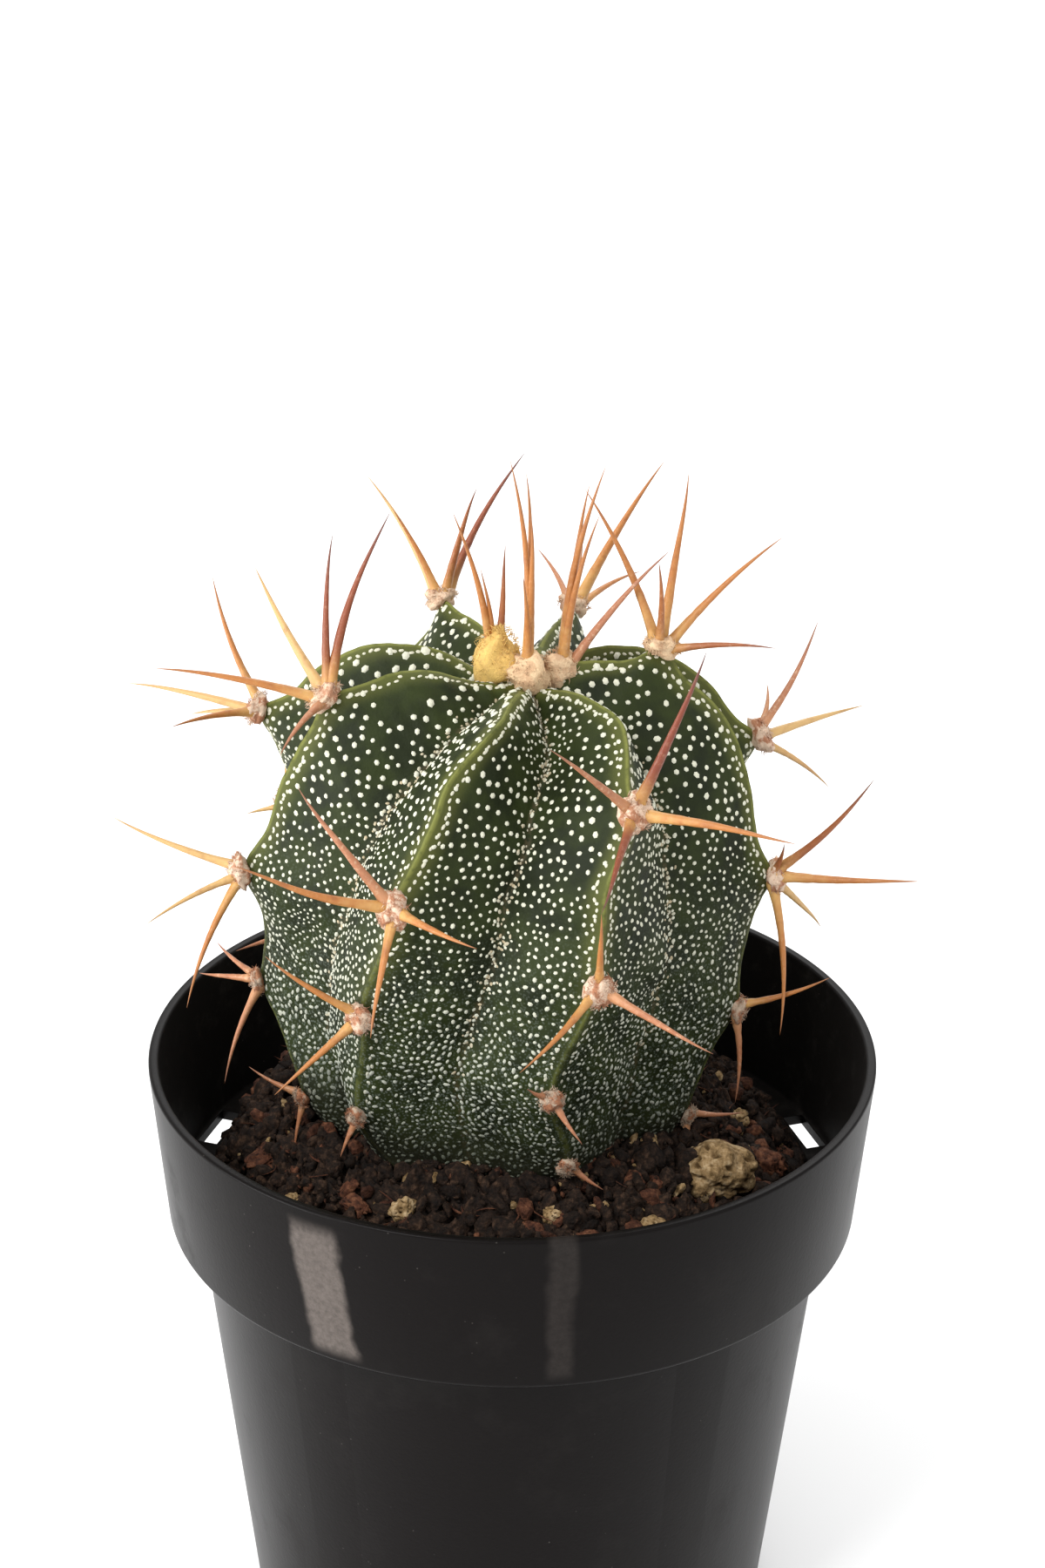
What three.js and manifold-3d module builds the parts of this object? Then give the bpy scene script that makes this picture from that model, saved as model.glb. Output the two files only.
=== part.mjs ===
// A potted monk's hood cactus: one ribbed stem with its spine clusters, standing in potting soil in a
// round plastic nursery pot. Millimetres, +Z up. The origin is the centre of the pot's underside.
// +X is to the viewer's right and -Y faces the viewer. A bearing is an angle round the stem, in
// degrees: 0 faces the viewer and 90 points to the right.
import * as THREE from 'three';
import { mergeVertices } from 'three/addons/utils/BufferGeometryUtils.js';
import Module from 'manifold-3d';

const wasm = await Module();
wasm.setup();

// ---- Driving dimensions -------------------------------------------------------------------------

// Pot: a tapered wall, a ledge, and a wider collar above the ledge.
const POT_HEIGHT = 80;
const RIM_RADIUS = 45;
const COLLAR_HEIGHT = 21;
const COLLAR_FOOT_RADIUS = 43.1;
const WAIST_RADIUS = 39.5;
const BASE_RADIUS = 33;
const WALL = 1.3;
const FLOOR = 1.6;
const LIP = 0.4;
const POT_SEGMENTS = 48;
const DRAIN_COUNT = 4;
const DRAIN_RADIUS = 4;
const DRAIN_CIRCLE = 23;
const SLOT_COUNT = 5;
const SLOT_LENGTH = 8;
const SLOT_DEPTH = 2.6;

// Soil: a mound that is highest where it meets the stem.
const SOIL_EDGE_LEVEL = POT_HEIGHT - COLLAR_HEIGHT + WALL + 0.4;
const SOIL_MOUND = 10;
const MOUND_INNER = 22;
const MOUND_OUTER = 44;
const SOIL_RINGS = 5;

// Stem: its foot in the soil, and the lean of its axis towards +X.
const STEM_FOOT = new THREE.Vector3(-2.4, 7.4, 72);
const STEM_LEAN = 4;
const COLUMNS_PER_RIB = 4;
const STEM_ROWS = 30;
const FLANK_BULGE = 0.7;
const HEART_HEIGHT = 20;
const SWELL_WIDTH = 3;
const ARCH_CLIMB = 0.84;
const ARCH_WIDTH = 0.1;
const CREST_LENGTH = 82;

// Clearance between pieces that touch.
const GAP = 0.3;

// Stem outlines [radius, height above the soil line], from the buried root end to the crown. The two
// run side by side: the same share of the way along each gives the crest and the furrow beside it.
const CREST_OUTLINE = [
  [0, -9], [13, -8.5], [21.5, -5],
  [25, 0], [28, 10], [29.9, 20], [30.6, 30], [29.9, 38], [28, 45], [24.6, 51],
  [19, 54.8], [12.5, 55.8], [7, 55], [3, 53.6], [0, 53],
];
const FURROW_OUTLINE = [
  [0, -9], [11.5, -8.5], [19, -5],
  [22, 0], [24, 10], [24.6, 19], [24.4, 27], [23.2, 34], [21, 40], [17.6, 45],
  [13, 48.8], [8.5, 50.8], [5, 51.9], [2.2, 52.8], [0, 53],
];
const BURIED_STEPS = 3;

// Ribs, in order round the stem. Each crest runs through its areoles, and an areole without spines is
// only a turn of the crest. An areole is [climb, bearing, swell, spines]: climb is 0 at the soil line
// and 1 at the crown, and swell is how far the crest stands out there, in mm. A rib's arch is how far
// its crest stands out over the shoulder. A spine is [clock, tilt, length]: clock is 0 up the rib and
// 90 to the right as seen from outside, and tilt is its angle from the outward normal, in degrees.
const RIBS = [
  { name: 'rib_1', reach: 1, arch: -0.9, areoles: [
    [-0.1, -66, 0, []],
    [0.02, -62, 1, [[-60, 62, 8], [170, 60, 7]]],
    [0.115, -84, 1.6, [[-95, 42, 10.5], [-72, 60, 10], [150, 62, 13.5]]],
    [0.26, -80, 2.6, [[-60, 29, 17.5], [140, 28, 13.5], [146, 66, 18]]],
    [0.56, -74, 1.2, [[-25, 50, 19.5], [-13, 62, 23.5], [-80, 54, 20], [-160, 42, 20.5], [125, 75, 13]]],
    [1, -80, 0, []],
  ] },
  { name: 'rib_2', reach: 1, arch: 0, areoles: [
    [-0.1, -25, 0, []],
    [0.05, -37, 0.8, [[-173, 49, 5.5]]],
    [0.19, -33, 1, [[-45, 62, 14], [-146, 40, 13.5]]],
    [0.34, -26, 1.4, [[-36, 66, 19], [-75, 50, 20], [85, 67, 14.5], [166, 60, 15]]],
    [0.5, -21, 0, []],
    [0.7, -10, 0, []],
    [1, -4, 0, []],
  ] },
  { name: 'rib_3', reach: 1, arch: 0, areoles: [
    [-0.1, 24, 0, []],
    [0.02, 20, 0.6, [[120, 62, 5.5]]],
    [0.12, 12, 0.6, [[140, 52, 6.5], [-50, 72, 5]]],
    [0.26, 19, 1, [[-122, 66, 14], [105, 43, 15.5], [-10, 79, 11.5]]],
    [0.37, 20, 0, []],
    [0.5, 27, 1.6, [[16, 56, 21.5], [-58, 69, 16], [113, 45, 19.5], [-138, 65, 15.5]]],
    [0.7, 40, 0, []],
    [1, 46, 0, []],
  ] },
  { name: 'rib_4', reach: 0.98, arch: 1.7, areoles: [
    [-0.1, 68, 0, []],
    [0.02, 66, 0.6, [[80, 45, 8], [-165, 58, 7.5]]],
    [0.14, 76, 1, [[4, 39, 12.5], [-169, 73, 12]]],
    [0.29, 84, 2, [[-10, 53, 19], [-57, 13, 18.5], [-159, 83, 19.5], [-28, 80, 7], [145, 62, 14]]],
    [0.68, 98, 2.6, [[75, 18, 21.5], [-35, 24, 13], [30, 44, 21.5], [168, 35, 20], [-150, 68, 14.5]]],
    [1, 98, 0, []],
  ] },
  { name: 'rib_5', reach: 1.02, arch: 1.5, areoles: [
    [-0.1, 112, 0, []],
    [0.08, 118, 1, [[-100, 50, 7], [150, 55, 7]]],
    [0.24, 122, 1, [[60, 60, 9], [130, 55, 9], [-165, 62, 11]]],
    [0.43, 110, 2.4, [[15, 43, 16.5], [134, 19, 17], [172, 55, 15], [95, 62, 15]]],
    [0.75, 126, 0, []],
    [1, 130, 0, []],
  ] },
  { name: 'rib_6', reach: 1.02, arch: 0, areoles: [
    [-0.1, 160, 0, []],
    [0.15, 158, 1, [[-60, 50, 12], [70, 45, 12], [180, 62, 9]]],
    [0.33, 164, 1.2, [[-40, 40, 13], [50, 40, 13], [-110, 40, 16], [140, 60, 15]]],
    [0.58, 166, 2, [[163, 33, 13], [125, 46, 12], [-45, 36, 22.5], [-152, 53, 15]]],
    [1, 170, 0, []],
  ] },
  { name: 'rib_7', reach: 1.02, arch: 0, areoles: [
    [-0.1, -150, 0, []],
    [0.05, -150, 1, [[60, 55, 5], [-80, 55, 5.5]]],
    [0.2, -146, 1, [[-45, 45, 13], [80, 40, 12], [175, 60, 12]]],
    [0.38, -142, 1.2, [[-110, 50, 12], [100, 50, 8], [-150, 60, 14], [170, 50, 16]]],
    [0.58, -154, 2.4, [[-45, 43, 21.5], [-8, 50, 17], [58, 31, 13.5], [132, 20, 19.5]]],
    [1, -156, 0, []],
  ] },
  { name: 'rib_8', reach: 1.06, arch: -0.8, areoles: [
    [-0.1, -112, 0, []],
    [0.1, -116, 1, [[90, 50, 8], [-60, 45, 8.5], [170, 60, 7]]],
    [0.25, -120, 1, [[-60, 62, 11], [110, 40, 5.5], [-165, 60, 13]]],
    [0.43, -104, 2.8, [[-20, 44, 17.5], [-170, 20, 18], [-148, 48, 13], [95, 58, 14]]],
    [1, -112, 0, []],
  ] },
];

// Crown: the youngest areoles, which stand together at the growing point. A tuft is [x, y, wool
// radius, spines], with x and y from the stem's axis; its spines' clock is 0 away from the viewer.
const CROWN_TUFTS = [
  ['crown_tuft_left', -3.7, 1.4, 1.8, [[-71, 20, 20.5], [3, 12, 15.5], [-60, 14, 13]]],
  ['crown_tuft_middle', 0.2, -0.6, 1.7, [[-90, 9, 28], [-49, 8, 25.5], [-134, 7, 22.5], [-150, 14, 15]]],
  ['crown_tuft_right', 3.8, 0.9, 1.6, [[79, 7, 27.5], [34, 9, 24], [114, 9, 22], [76, 38, 20.5]]],
];
const CROWN_HEIGHT = 54.2;

// Spines and the wool they grow from.
const SPINE_ROOT_RADIUS = 0.62;
const SPINE_SPREAD = 0.5;
const SPINE_SIDES = 4;
const SPINE_STEPS = 3;
const SPINE_BOW = 11;
const SPINE_TAPER_POWER = 0.85;
const PAD_SIZE = new THREE.Vector3(2.3, 2.6, 1.4);
const OLD_PAD_SHARE = 0.6;
const OLD_PAD_CLIMB = 0.3;
const PAD_SIDES = 6;
const PAD_RINGS = 4;
const FULL_SPINE = 16;

// Loose mineral grains on the soil: [name, x, y, radius, colour].
const GRAINS = [
  ['vermiculite_chunk', 25, -8.6, 3.6, '#b99a5c'],
  ['bark_chip', 31.5, -2.5, 2.2, '#9a4f24'],
  ['perlite_grain_front', -10, -25, 1.9, '#c9bd8d'],
  ['perlite_grain_left', -22.5, -21.5, 1.8, '#c7b98f'],
  ['perlite_grain_right', 20.5, -24.5, 2, '#cdbf8a'],
  ['perlite_grain_back', 12, 34.6, 1.7, '#cfc39a'],
];
const GRAIN_SQUASH = 0.75;
const GRAIN_ROUGHNESS = 0.16;

// ---- Helpers ------------------------------------------------------------------------------------

const Z_AXIS = new THREE.Vector3(0, 0, 1);

function seededNoise(seed) {
  // A repeatable stream of numbers in 0..1.
  let state = seed;
  return () => {
    state = (state * 16807) % 2147483647;
    return state / 2147483647;
  };
}

function solidOf(geometry) {
  // Turns a closed geometry into a solid that can be joined and cut.
  const bare = geometry.index ? geometry.clone() : geometry;
  bare.deleteAttribute('normal');
  bare.deleteAttribute('uv');
  const merged = mergeVertices(bare, 1e-4);
  return new wasm.Manifold(new wasm.Mesh({
    numProp: 3,
    vertProperties: new Float32Array(merged.attributes.position.array),
    triVerts: new Uint32Array(merged.index.array),
  }));
}

function geometryOf(solid) {
  // Turns a solid back into a geometry.
  const mesh = solid.getMesh();
  const geometry = new THREE.BufferGeometry();
  geometry.setAttribute('position', new THREE.BufferAttribute(mesh.vertProperties, 3));
  geometry.setIndex(new THREE.BufferAttribute(mesh.triVerts, 1));
  geometry.computeVertexNormals();
  return geometry;
}

function finish(color, roughness, metalness = 0) {
  return new THREE.MeshStandardMaterial({ color, roughness, metalness });
}

function namedMesh(name, solid, material) {
  const mesh = new THREE.Mesh(geometryOf(solid), material);
  mesh.name = name;
  return mesh;
}

function movePoints(geometry, change) {
  // Calls change on each vertex, as a vector that it may alter.
  const position = geometry.attributes.position;
  const point = new THREE.Vector3();
  for (let i = 0; i < position.count; i += 1) {
    point.fromBufferAttribute(position, i);
    change(point);
    position.setXYZ(i, point.x, point.y, point.z);
  }
  return geometry;
}

// ---- Pot ----------------------------------------------------------------------------------------

const LEDGE_LEVEL = POT_HEIGHT - COLLAR_HEIGHT;

function latheZ(outline, segments) {
  // Turns an outline of [radius, height] round the Z axis.
  const points = outline.map(([radius, height]) => new THREE.Vector2(radius, height));
  return new THREE.LatheGeometry(points, segments).rotateX(Math.PI / 2);
}

function potSolid() {
  const outline = [
    [0, 0], [BASE_RADIUS - 1, 0], [BASE_RADIUS, 1],
    [WAIST_RADIUS, LEDGE_LEVEL], [COLLAR_FOOT_RADIUS - LIP, LEDGE_LEVEL],
    [COLLAR_FOOT_RADIUS, LEDGE_LEVEL + LIP],
    [RIM_RADIUS, POT_HEIGHT - LIP], [RIM_RADIUS - LIP, POT_HEIGHT],
    [RIM_RADIUS - WALL + LIP, POT_HEIGHT], [RIM_RADIUS - WALL, POT_HEIGHT - LIP],
    [COLLAR_FOOT_RADIUS - WALL, LEDGE_LEVEL + WALL], [WAIST_RADIUS - WALL, LEDGE_LEVEL + WALL],
    [BASE_RADIUS - WALL, FLOOR], [0, FLOOR],
  ];
  let pot = solidOf(latheZ(outline, POT_SEGMENTS));
  for (let i = 0; i < DRAIN_COUNT; i += 1) {
    const hole = new THREE.CylinderGeometry(DRAIN_RADIUS, DRAIN_RADIUS, 4 * FLOOR, 20);
    hole.rotateX(Math.PI / 2).translate(DRAIN_CIRCLE, 0, 0).rotateZ((2 * Math.PI * (i + 0.5)) / DRAIN_COUNT);
    pot = pot.subtract(solidOf(hole));
  }
  const slotRadius = (WAIST_RADIUS + COLLAR_FOOT_RADIUS) / 2 - WALL;
  for (let i = 0; i < SLOT_COUNT; i += 1) {
    const slot = new THREE.BoxGeometry(SLOT_LENGTH, SLOT_DEPTH, 4 * WALL);
    slot.translate(0, -slotRadius, LEDGE_LEVEL + WALL / 2).rotateZ((2 * Math.PI * (i + 0.5)) / SLOT_COUNT);
    pot = pot.subtract(solidOf(slot));
  }
  return pot;
}

// ---- Stem ---------------------------------------------------------------------------------------

const crestCurve = new THREE.SplineCurve(CREST_OUTLINE.map(([r, z]) => new THREE.Vector2(r, z)));
const furrowCurve = new THREE.SplineCurve(FURROW_OUTLINE.map(([r, z]) => new THREE.Vector2(r, z)));
const OUTLINE_STEPS = CREST_OUTLINE.length - 1;

function shareOf(climb) {
  // How far along the outline a climb is, from 0 at the root end to 1 at the crown.
  const steps = BURIED_STEPS + climb * (OUTLINE_STEPS - BURIED_STEPS);
  return THREE.MathUtils.clamp(steps / OUTLINE_STEPS, 0, 1);
}

function climbOf(share) {
  return (share * OUTLINE_STEPS - BURIED_STEPS) / (OUTLINE_STEPS - BURIED_STEPS);
}

function offsetPoint(curve, share, out) {
  // The outline's [radius, height] at a share, moved outward square to the outline.
  const point = curve.getPoint(share);
  const ahead = curve.getPoint(Math.min(1, share + 1e-3));
  const behind = curve.getPoint(Math.max(0, share - 1e-3));
  const along = ahead.sub(behind).normalize();
  return new THREE.Vector2(point.x + along.y * out, point.y - along.x * out);
}

function bearingAt(rib, climb) {
  // The crest's bearing, which turns smoothly from each areole to the next.
  const turns = rib.areoles;
  const last = turns.length - 1;
  if (climb <= turns[0][0]) return turns[0][1];
  for (let i = 0; i < last; i += 1) {
    const [lowClimb, lowBearing] = turns[i];
    const [highClimb, highBearing] = turns[i + 1];
    if (climb <= highClimb) {
      const mix = THREE.MathUtils.smoothstep(climb, lowClimb, highClimb);
      return THREE.MathUtils.lerp(lowBearing, highBearing, mix);
    }
  }
  return turns[last][1];
}

function swellAt(rib, climb) {
  // How far the crest stands out, at the shoulder's arch and beside its areoles.
  const arch = rib.arch * Math.exp(-(((climb - ARCH_CLIMB) / ARCH_WIDTH) ** 2));
  return rib.areoles.reduce((sum, [place, , swell]) => {
    const distance = ((climb - place) * CREST_LENGTH) / SWELL_WIDTH;
    return sum + swell * Math.exp(-distance * distance);
  }, arch);
}

function onStem(radius, height, bearing) {
  // A point beside the leaning axis of the stem.
  const angle = THREE.MathUtils.degToRad(bearing);
  const point = new THREE.Vector3(radius * Math.sin(angle), -radius * Math.cos(angle), height);
  point.applyAxisAngle(new THREE.Vector3(0, 1, 0), THREE.MathUtils.degToRad(STEM_LEAN));
  return point.add(STEM_FOOT);
}

function crestPoint(rib, share, out = 0) {
  const climb = climbOf(share);
  const spread = 1 + (rib.reach - 1) * Math.sin(Math.PI * THREE.MathUtils.clamp(climb * 1.1, 0, 1));
  const [radius, height] = offsetPoint(crestCurve, share, out + swellAt(rib, climb)).toArray();
  return onStem(Math.max(0, radius * spread), height, bearingAt(rib, climb));
}

function furrowPoint(rib, nextRib, share, out = 0) {
  const climb = climbOf(share);
  const start = bearingAt(rib, climb);
  const turn = THREE.MathUtils.euclideanModulo(bearingAt(nextRib, climb) - start, 360);
  const [radius, height] = offsetPoint(furrowCurve, share, out).toArray();
  return onStem(Math.max(0, radius), height, start + turn / 2);
}

function stemRow(share, out) {
  // One ring of points round the stem: crest, flank, furrow, flank and so on.
  const row = [];
  const half = COLUMNS_PER_RIB / 2;
  const heart = onStem(0, HEART_HEIGHT, 0);
  const flank = (from, to, step) => {
    const middle = from.clone().lerp(to, step / half);
    const away = middle.clone().sub(heart).normalize();
    return middle.addScaledVector(away, FLANK_BULGE * Math.sin((Math.PI * step) / half));
  };
  RIBS.forEach((rib, index) => {
    const nextRib = RIBS[(index + 1) % RIBS.length];
    const crest = crestPoint(rib, share, out);
    const furrow = furrowPoint(rib, nextRib, share, out);
    const nextCrest = crestPoint(nextRib, share, out);
    for (let step = 0; step < half; step += 1) row.push(step ? flank(crest, furrow, step) : crest);
    for (let step = 0; step < half; step += 1) row.push(step ? flank(furrow, nextCrest, step) : furrow);
  });
  return row;
}

function stemSolid(out = 0) {
  // The stem as one closed skin, grown outward by out.
  const columns = RIBS.length * COLUMNS_PER_RIB;
  const points = [onStem(0, CREST_OUTLINE[0][1] - out, 0)];
  for (let row = 1; row < STEM_ROWS; row += 1) points.push(...stemRow(row / STEM_ROWS, out));
  points.push(onStem(0, CREST_OUTLINE[OUTLINE_STEPS][1] + out, 0));
  const index = [];
  const at = (row, column) => 1 + (row - 1) * columns + (column % columns);
  for (let column = 0; column < columns; column += 1) {
    index.push(0, at(1, column + 1), at(1, column));
    for (let row = 1; row < STEM_ROWS - 1; row += 1) {
      index.push(at(row, column), at(row, column + 1), at(row + 1, column + 1));
      index.push(at(row, column), at(row + 1, column + 1), at(row + 1, column));
    }
    index.push(at(STEM_ROWS - 1, column), at(STEM_ROWS - 1, column + 1), points.length - 1);
  }
  const geometry = new THREE.BufferGeometry().setFromPoints(points);
  geometry.setIndex(index);
  return solidOf(geometry);
}

// ---- Spine clusters -----------------------------------------------------------------------------

function areoleFrame(rib, climb) {
  // Where an areole sits on its crest, with its outward, upward and sideways directions.
  const share = shareOf(climb);
  const root = crestPoint(rib, share);
  const up = crestPoint(rib, share + 0.004).sub(crestPoint(rib, share - 0.004)).normalize();
  const out = crestPoint(rib, share, 1).sub(root);
  out.addScaledVector(up, -out.dot(up)).normalize();
  return { root, up, out, side: new THREE.Vector3().crossVectors(up, out) };
}

function direction(frame, clock, tilt) {
  const turn = THREE.MathUtils.degToRad(clock);
  const lean = THREE.MathUtils.degToRad(tilt);
  return frame.out.clone().multiplyScalar(Math.cos(lean))
    .addScaledVector(frame.up, Math.sin(lean) * Math.cos(turn))
    .addScaledVector(frame.side, Math.sin(lean) * Math.sin(turn));
}

function spineSolid(frame, [clock, tilt, length]) {
  // A tapered spine that leaves its areole more upright and bows out towards its tip.
  const root = direction(frame, clock, 90).multiplyScalar(SPINE_SPREAD).add(frame.root);
  const tip = frame.root.clone().addScaledVector(direction(frame, clock, tilt), length);
  const elbow = direction(frame, clock, tilt - SPINE_BOW).multiplyScalar(length / 2).add(root);
  const path = new THREE.QuadraticBezierCurve3(root, elbow, tip);
  const stout = SPINE_ROOT_RADIUS * Math.min(1, 0.55 + (0.45 * length) / FULL_SPINE);
  const cone = new THREE.ConeGeometry(stout, 1, SPINE_SIDES, SPINE_STEPS);
  const across = new THREE.Vector3().crossVectors(tip.clone().sub(elbow), elbow.clone().sub(root));
  across.normalize();
  return solidOf(movePoints(cone, (point) => {
    const share = THREE.MathUtils.clamp(point.y + 0.5, 0, 1);
    const centre = path.getPoint(share);
    const over = new THREE.Vector3().crossVectors(across, path.getTangent(share));
    const fatten = share < 1 ? (1 - share) ** (SPINE_TAPER_POWER - 1) : 0;
    const { x, z } = point;
    point.copy(centre).addScaledVector(across, x * fatten).addScaledVector(over, z * fatten);
  }));
}

function padSolid(frame, size) {
  // The cushion of wool that the spines grow from.
  const ball = new THREE.SphereGeometry(1, PAD_SIDES, PAD_RINGS).scale(size.x, size.y, size.z);
  const turn = new THREE.Matrix4().makeBasis(frame.side, frame.up, frame.out);
  const lift = frame.root.clone().addScaledVector(frame.out, size.z * 0.35);
  return solidOf(ball.applyMatrix4(turn.setPosition(lift)));
}

function clusterSolid(frame, padSize, spines, keepOut) {
  let cluster = padSolid(frame, padSize);
  spines.forEach((spine) => {
    cluster = cluster.add(spineSolid(frame, spine));
  });
  return cluster.subtract(keepOut);
}

function crownFrame(x, y) {
  // A tuft at the growing point stands square to the stem's axis.
  const root = onStem(Math.hypot(x, y), CROWN_HEIGHT, THREE.MathUtils.radToDeg(Math.atan2(x, -y)));
  const out = Z_AXIS.clone().applyAxisAngle(new THREE.Vector3(0, 1, 0), THREE.MathUtils.degToRad(STEM_LEAN));
  const up = new THREE.Vector3(0, 1, 0);
  return { root, up, out, side: new THREE.Vector3().crossVectors(up, out) };
}

// ---- Soil and loose grains ----------------------------------------------------------------------

function soilLevel(x, y) {
  // The height of the soil's surface, a mound round the stem's foot.
  const distance = Math.hypot(x - STEM_FOOT.x, y - STEM_FOOT.y);
  const slope = 1 - THREE.MathUtils.smoothstep(distance, MOUND_INNER, MOUND_OUTER);
  const edge = THREE.MathUtils.smoothstep(Math.hypot(x, y), WAIST_RADIUS - 6, WAIST_RADIUS - WALL);
  return SOIL_EDGE_LEVEL + SOIL_MOUND * slope * (1 - edge) + 0.8 * Math.sin(x / 3.1) * Math.cos(y / 3.7);
}

function soilSolid(raise = 0) {
  // The soil fills the pot below the ledge, clear of the wall.
  const wallInset = WALL + GAP;
  const outline = [[0, FLOOR + GAP], [BASE_RADIUS - wallInset, FLOOR + GAP]];
  for (let ring = 0; ring < SOIL_RINGS; ring += 1) {
    outline.push([(WAIST_RADIUS - wallInset) * (1 - ring / SOIL_RINGS), LEDGE_LEVEL]);
  }
  outline.push([0, LEDGE_LEVEL]);
  return solidOf(movePoints(latheZ(outline, POT_SEGMENTS * 0.75), (point) => {
    if (point.z > LEDGE_LEVEL - 1) point.z = soilLevel(point.x, point.y) + raise;
  }));
}

function grainSolid(x, y, radius, seed) {
  // An irregular, slightly flattened grain that sits in the soil's surface.
  const random = seededNoise(seed);
  const ball = mergeVertices(new THREE.IcosahedronGeometry(radius, 1).deleteAttribute('normal')
    .deleteAttribute('uv'), 1e-3);
  return solidOf(movePoints(ball, (point) => {
    point.multiplyScalar(1 + GRAIN_ROUGHNESS * (2 * random() - 1));
    point.z = point.z * GRAIN_SQUASH + soilLevel(x, y) + radius * 0.4;
    point.x += x;
    point.y += y;
  }));
}

// ---- Assembly -----------------------------------------------------------------------------------

const plant = new THREE.Group();

plant.add(namedMesh('nursery_pot', potSolid(), finish('#1c1c1f', 0.38)));

const stemClearance = stemSolid(GAP);
const soilClearance = soilSolid(GAP);
plant.add(namedMesh('cactus_stem', stemSolid(), finish('#2f4527', 0.6)));
plant.add(namedMesh('potting_soil', soilSolid().subtract(stemClearance), finish('#3a251b', 0.95)));

const spineFinish = finish('#c9793f', 0.5);
const keepOut = stemClearance.add(soilClearance);
RIBS.forEach((rib) => {
  rib.areoles.filter(([, , , spines]) => spines.length > 0).forEach(([climb, , , spines], index) => {
    const growth = THREE.MathUtils.smoothstep(climb, 0, OLD_PAD_CLIMB);
    const size = PAD_SIZE.clone().multiplyScalar(THREE.MathUtils.lerp(OLD_PAD_SHARE, 1, growth));
    const cluster = clusterSolid(areoleFrame(rib, climb), size, spines, keepOut);
    plant.add(namedMesh(`${rib.name}_spines_${index + 1}`, cluster, spineFinish));
  });
});
CROWN_TUFTS.forEach(([name, x, y, radius, spines]) => {
  const size = new THREE.Vector3(radius, radius, radius * 1.35);
  plant.add(namedMesh(name, clusterSolid(crownFrame(x, y), size, spines, keepOut), spineFinish));
});

GRAINS.forEach(([name, x, y, radius, color], index) => {
  const grain = grainSolid(x, y, radius, 71 + index).subtract(soilClearance);
  plant.add(namedMesh(name, grain, finish(color, 0.9)));
});

export default plant;
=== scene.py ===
"""Looks of a potted monk's hood cactus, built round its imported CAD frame.

The stem, its flecks, the spine clusters, the nursery pot and the potting mix are each a class that
holds its own sizes, builds its meshes and dresses them. Lengths are in millimetres until a mesh is
made, and a bearing is an angle round the stem in degrees: 0 faces the viewer, 90 points to the right.
"""

import logging
import math
from dataclasses import dataclass, field
from enum import Enum
from typing import Iterable, Sequence

import bmesh
import bpy
import numpy as np
from mathutils import Matrix, Vector
from mathutils.kdtree import KDTree


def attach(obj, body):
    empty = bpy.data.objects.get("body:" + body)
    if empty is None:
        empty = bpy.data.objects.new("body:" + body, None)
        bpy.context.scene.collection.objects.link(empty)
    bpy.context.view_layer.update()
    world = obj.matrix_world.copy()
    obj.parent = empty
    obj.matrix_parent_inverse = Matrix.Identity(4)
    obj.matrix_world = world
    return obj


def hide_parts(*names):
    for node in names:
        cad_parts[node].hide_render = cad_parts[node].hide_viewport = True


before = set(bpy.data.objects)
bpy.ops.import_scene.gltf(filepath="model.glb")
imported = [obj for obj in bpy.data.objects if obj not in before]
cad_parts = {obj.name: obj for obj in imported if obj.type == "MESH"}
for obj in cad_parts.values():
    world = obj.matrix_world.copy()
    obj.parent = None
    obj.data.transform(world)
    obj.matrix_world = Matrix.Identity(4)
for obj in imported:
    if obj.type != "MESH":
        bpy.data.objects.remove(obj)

log = logging.getLogger("monks_hood_cactus")

MM = 0.001
SPOT_STEP = 0.004
CLIMB_STEP = 0.002
Color = tuple[float, float, float]
Array = np.ndarray


# ---- Shader building ----------------------------------------------------------------------------


class Channel:
    """A shader socket that can be used in Python expressions."""

    def __init__(self, nodes: "Nodes", socket: bpy.types.NodeSocket) -> None:
        """Wraps an output socket of a material's nodes."""
        self.nodes = nodes
        self.socket = socket

    def _math(self, operation: str, *values: "Channel | float") -> "Channel":
        """Adds one Math node over the given values."""
        inputs = dict(enumerate(values))
        return self.nodes.add("ShaderNodeMath", {"operation": operation}, inputs)

    def __add__(self, other: "Channel | float") -> "Channel":
        """self + other."""
        return self._math("ADD", self, other)

    def __radd__(self, other: float) -> "Channel":
        """other + self."""
        return self._math("ADD", other, self)

    def __sub__(self, other: "Channel | float") -> "Channel":
        """self - other."""
        return self._math("SUBTRACT", self, other)

    def __rsub__(self, other: float) -> "Channel":
        """other - self."""
        return self._math("SUBTRACT", other, self)

    def __mul__(self, other: "Channel | float") -> "Channel":
        """self * other."""
        return self._math("MULTIPLY", self, other)

    def __rmul__(self, other: float) -> "Channel":
        """other * self."""
        return self._math("MULTIPLY", other, self)

    def clamped(self) -> "Channel":
        """The value held between 0 and 1."""
        return self._math("MAXIMUM", self._math("MINIMUM", self, 1.0), 0.0)

    def step(self, low: float, high: float) -> "Channel":
        """A smooth step from 0 at low to 1 at high, or falling where low is above high."""
        settings = {"interpolation_type": "SMOOTHSTEP"}
        flip = low > high
        edges = {"From Min": min(low, high), "From Max": max(low, high)}
        inputs = {"Value": self, **edges, "To Min": float(flip), "To Max": float(not flip)}
        return self.nodes.add("ShaderNodeMapRange", settings, inputs, "Result")


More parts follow.
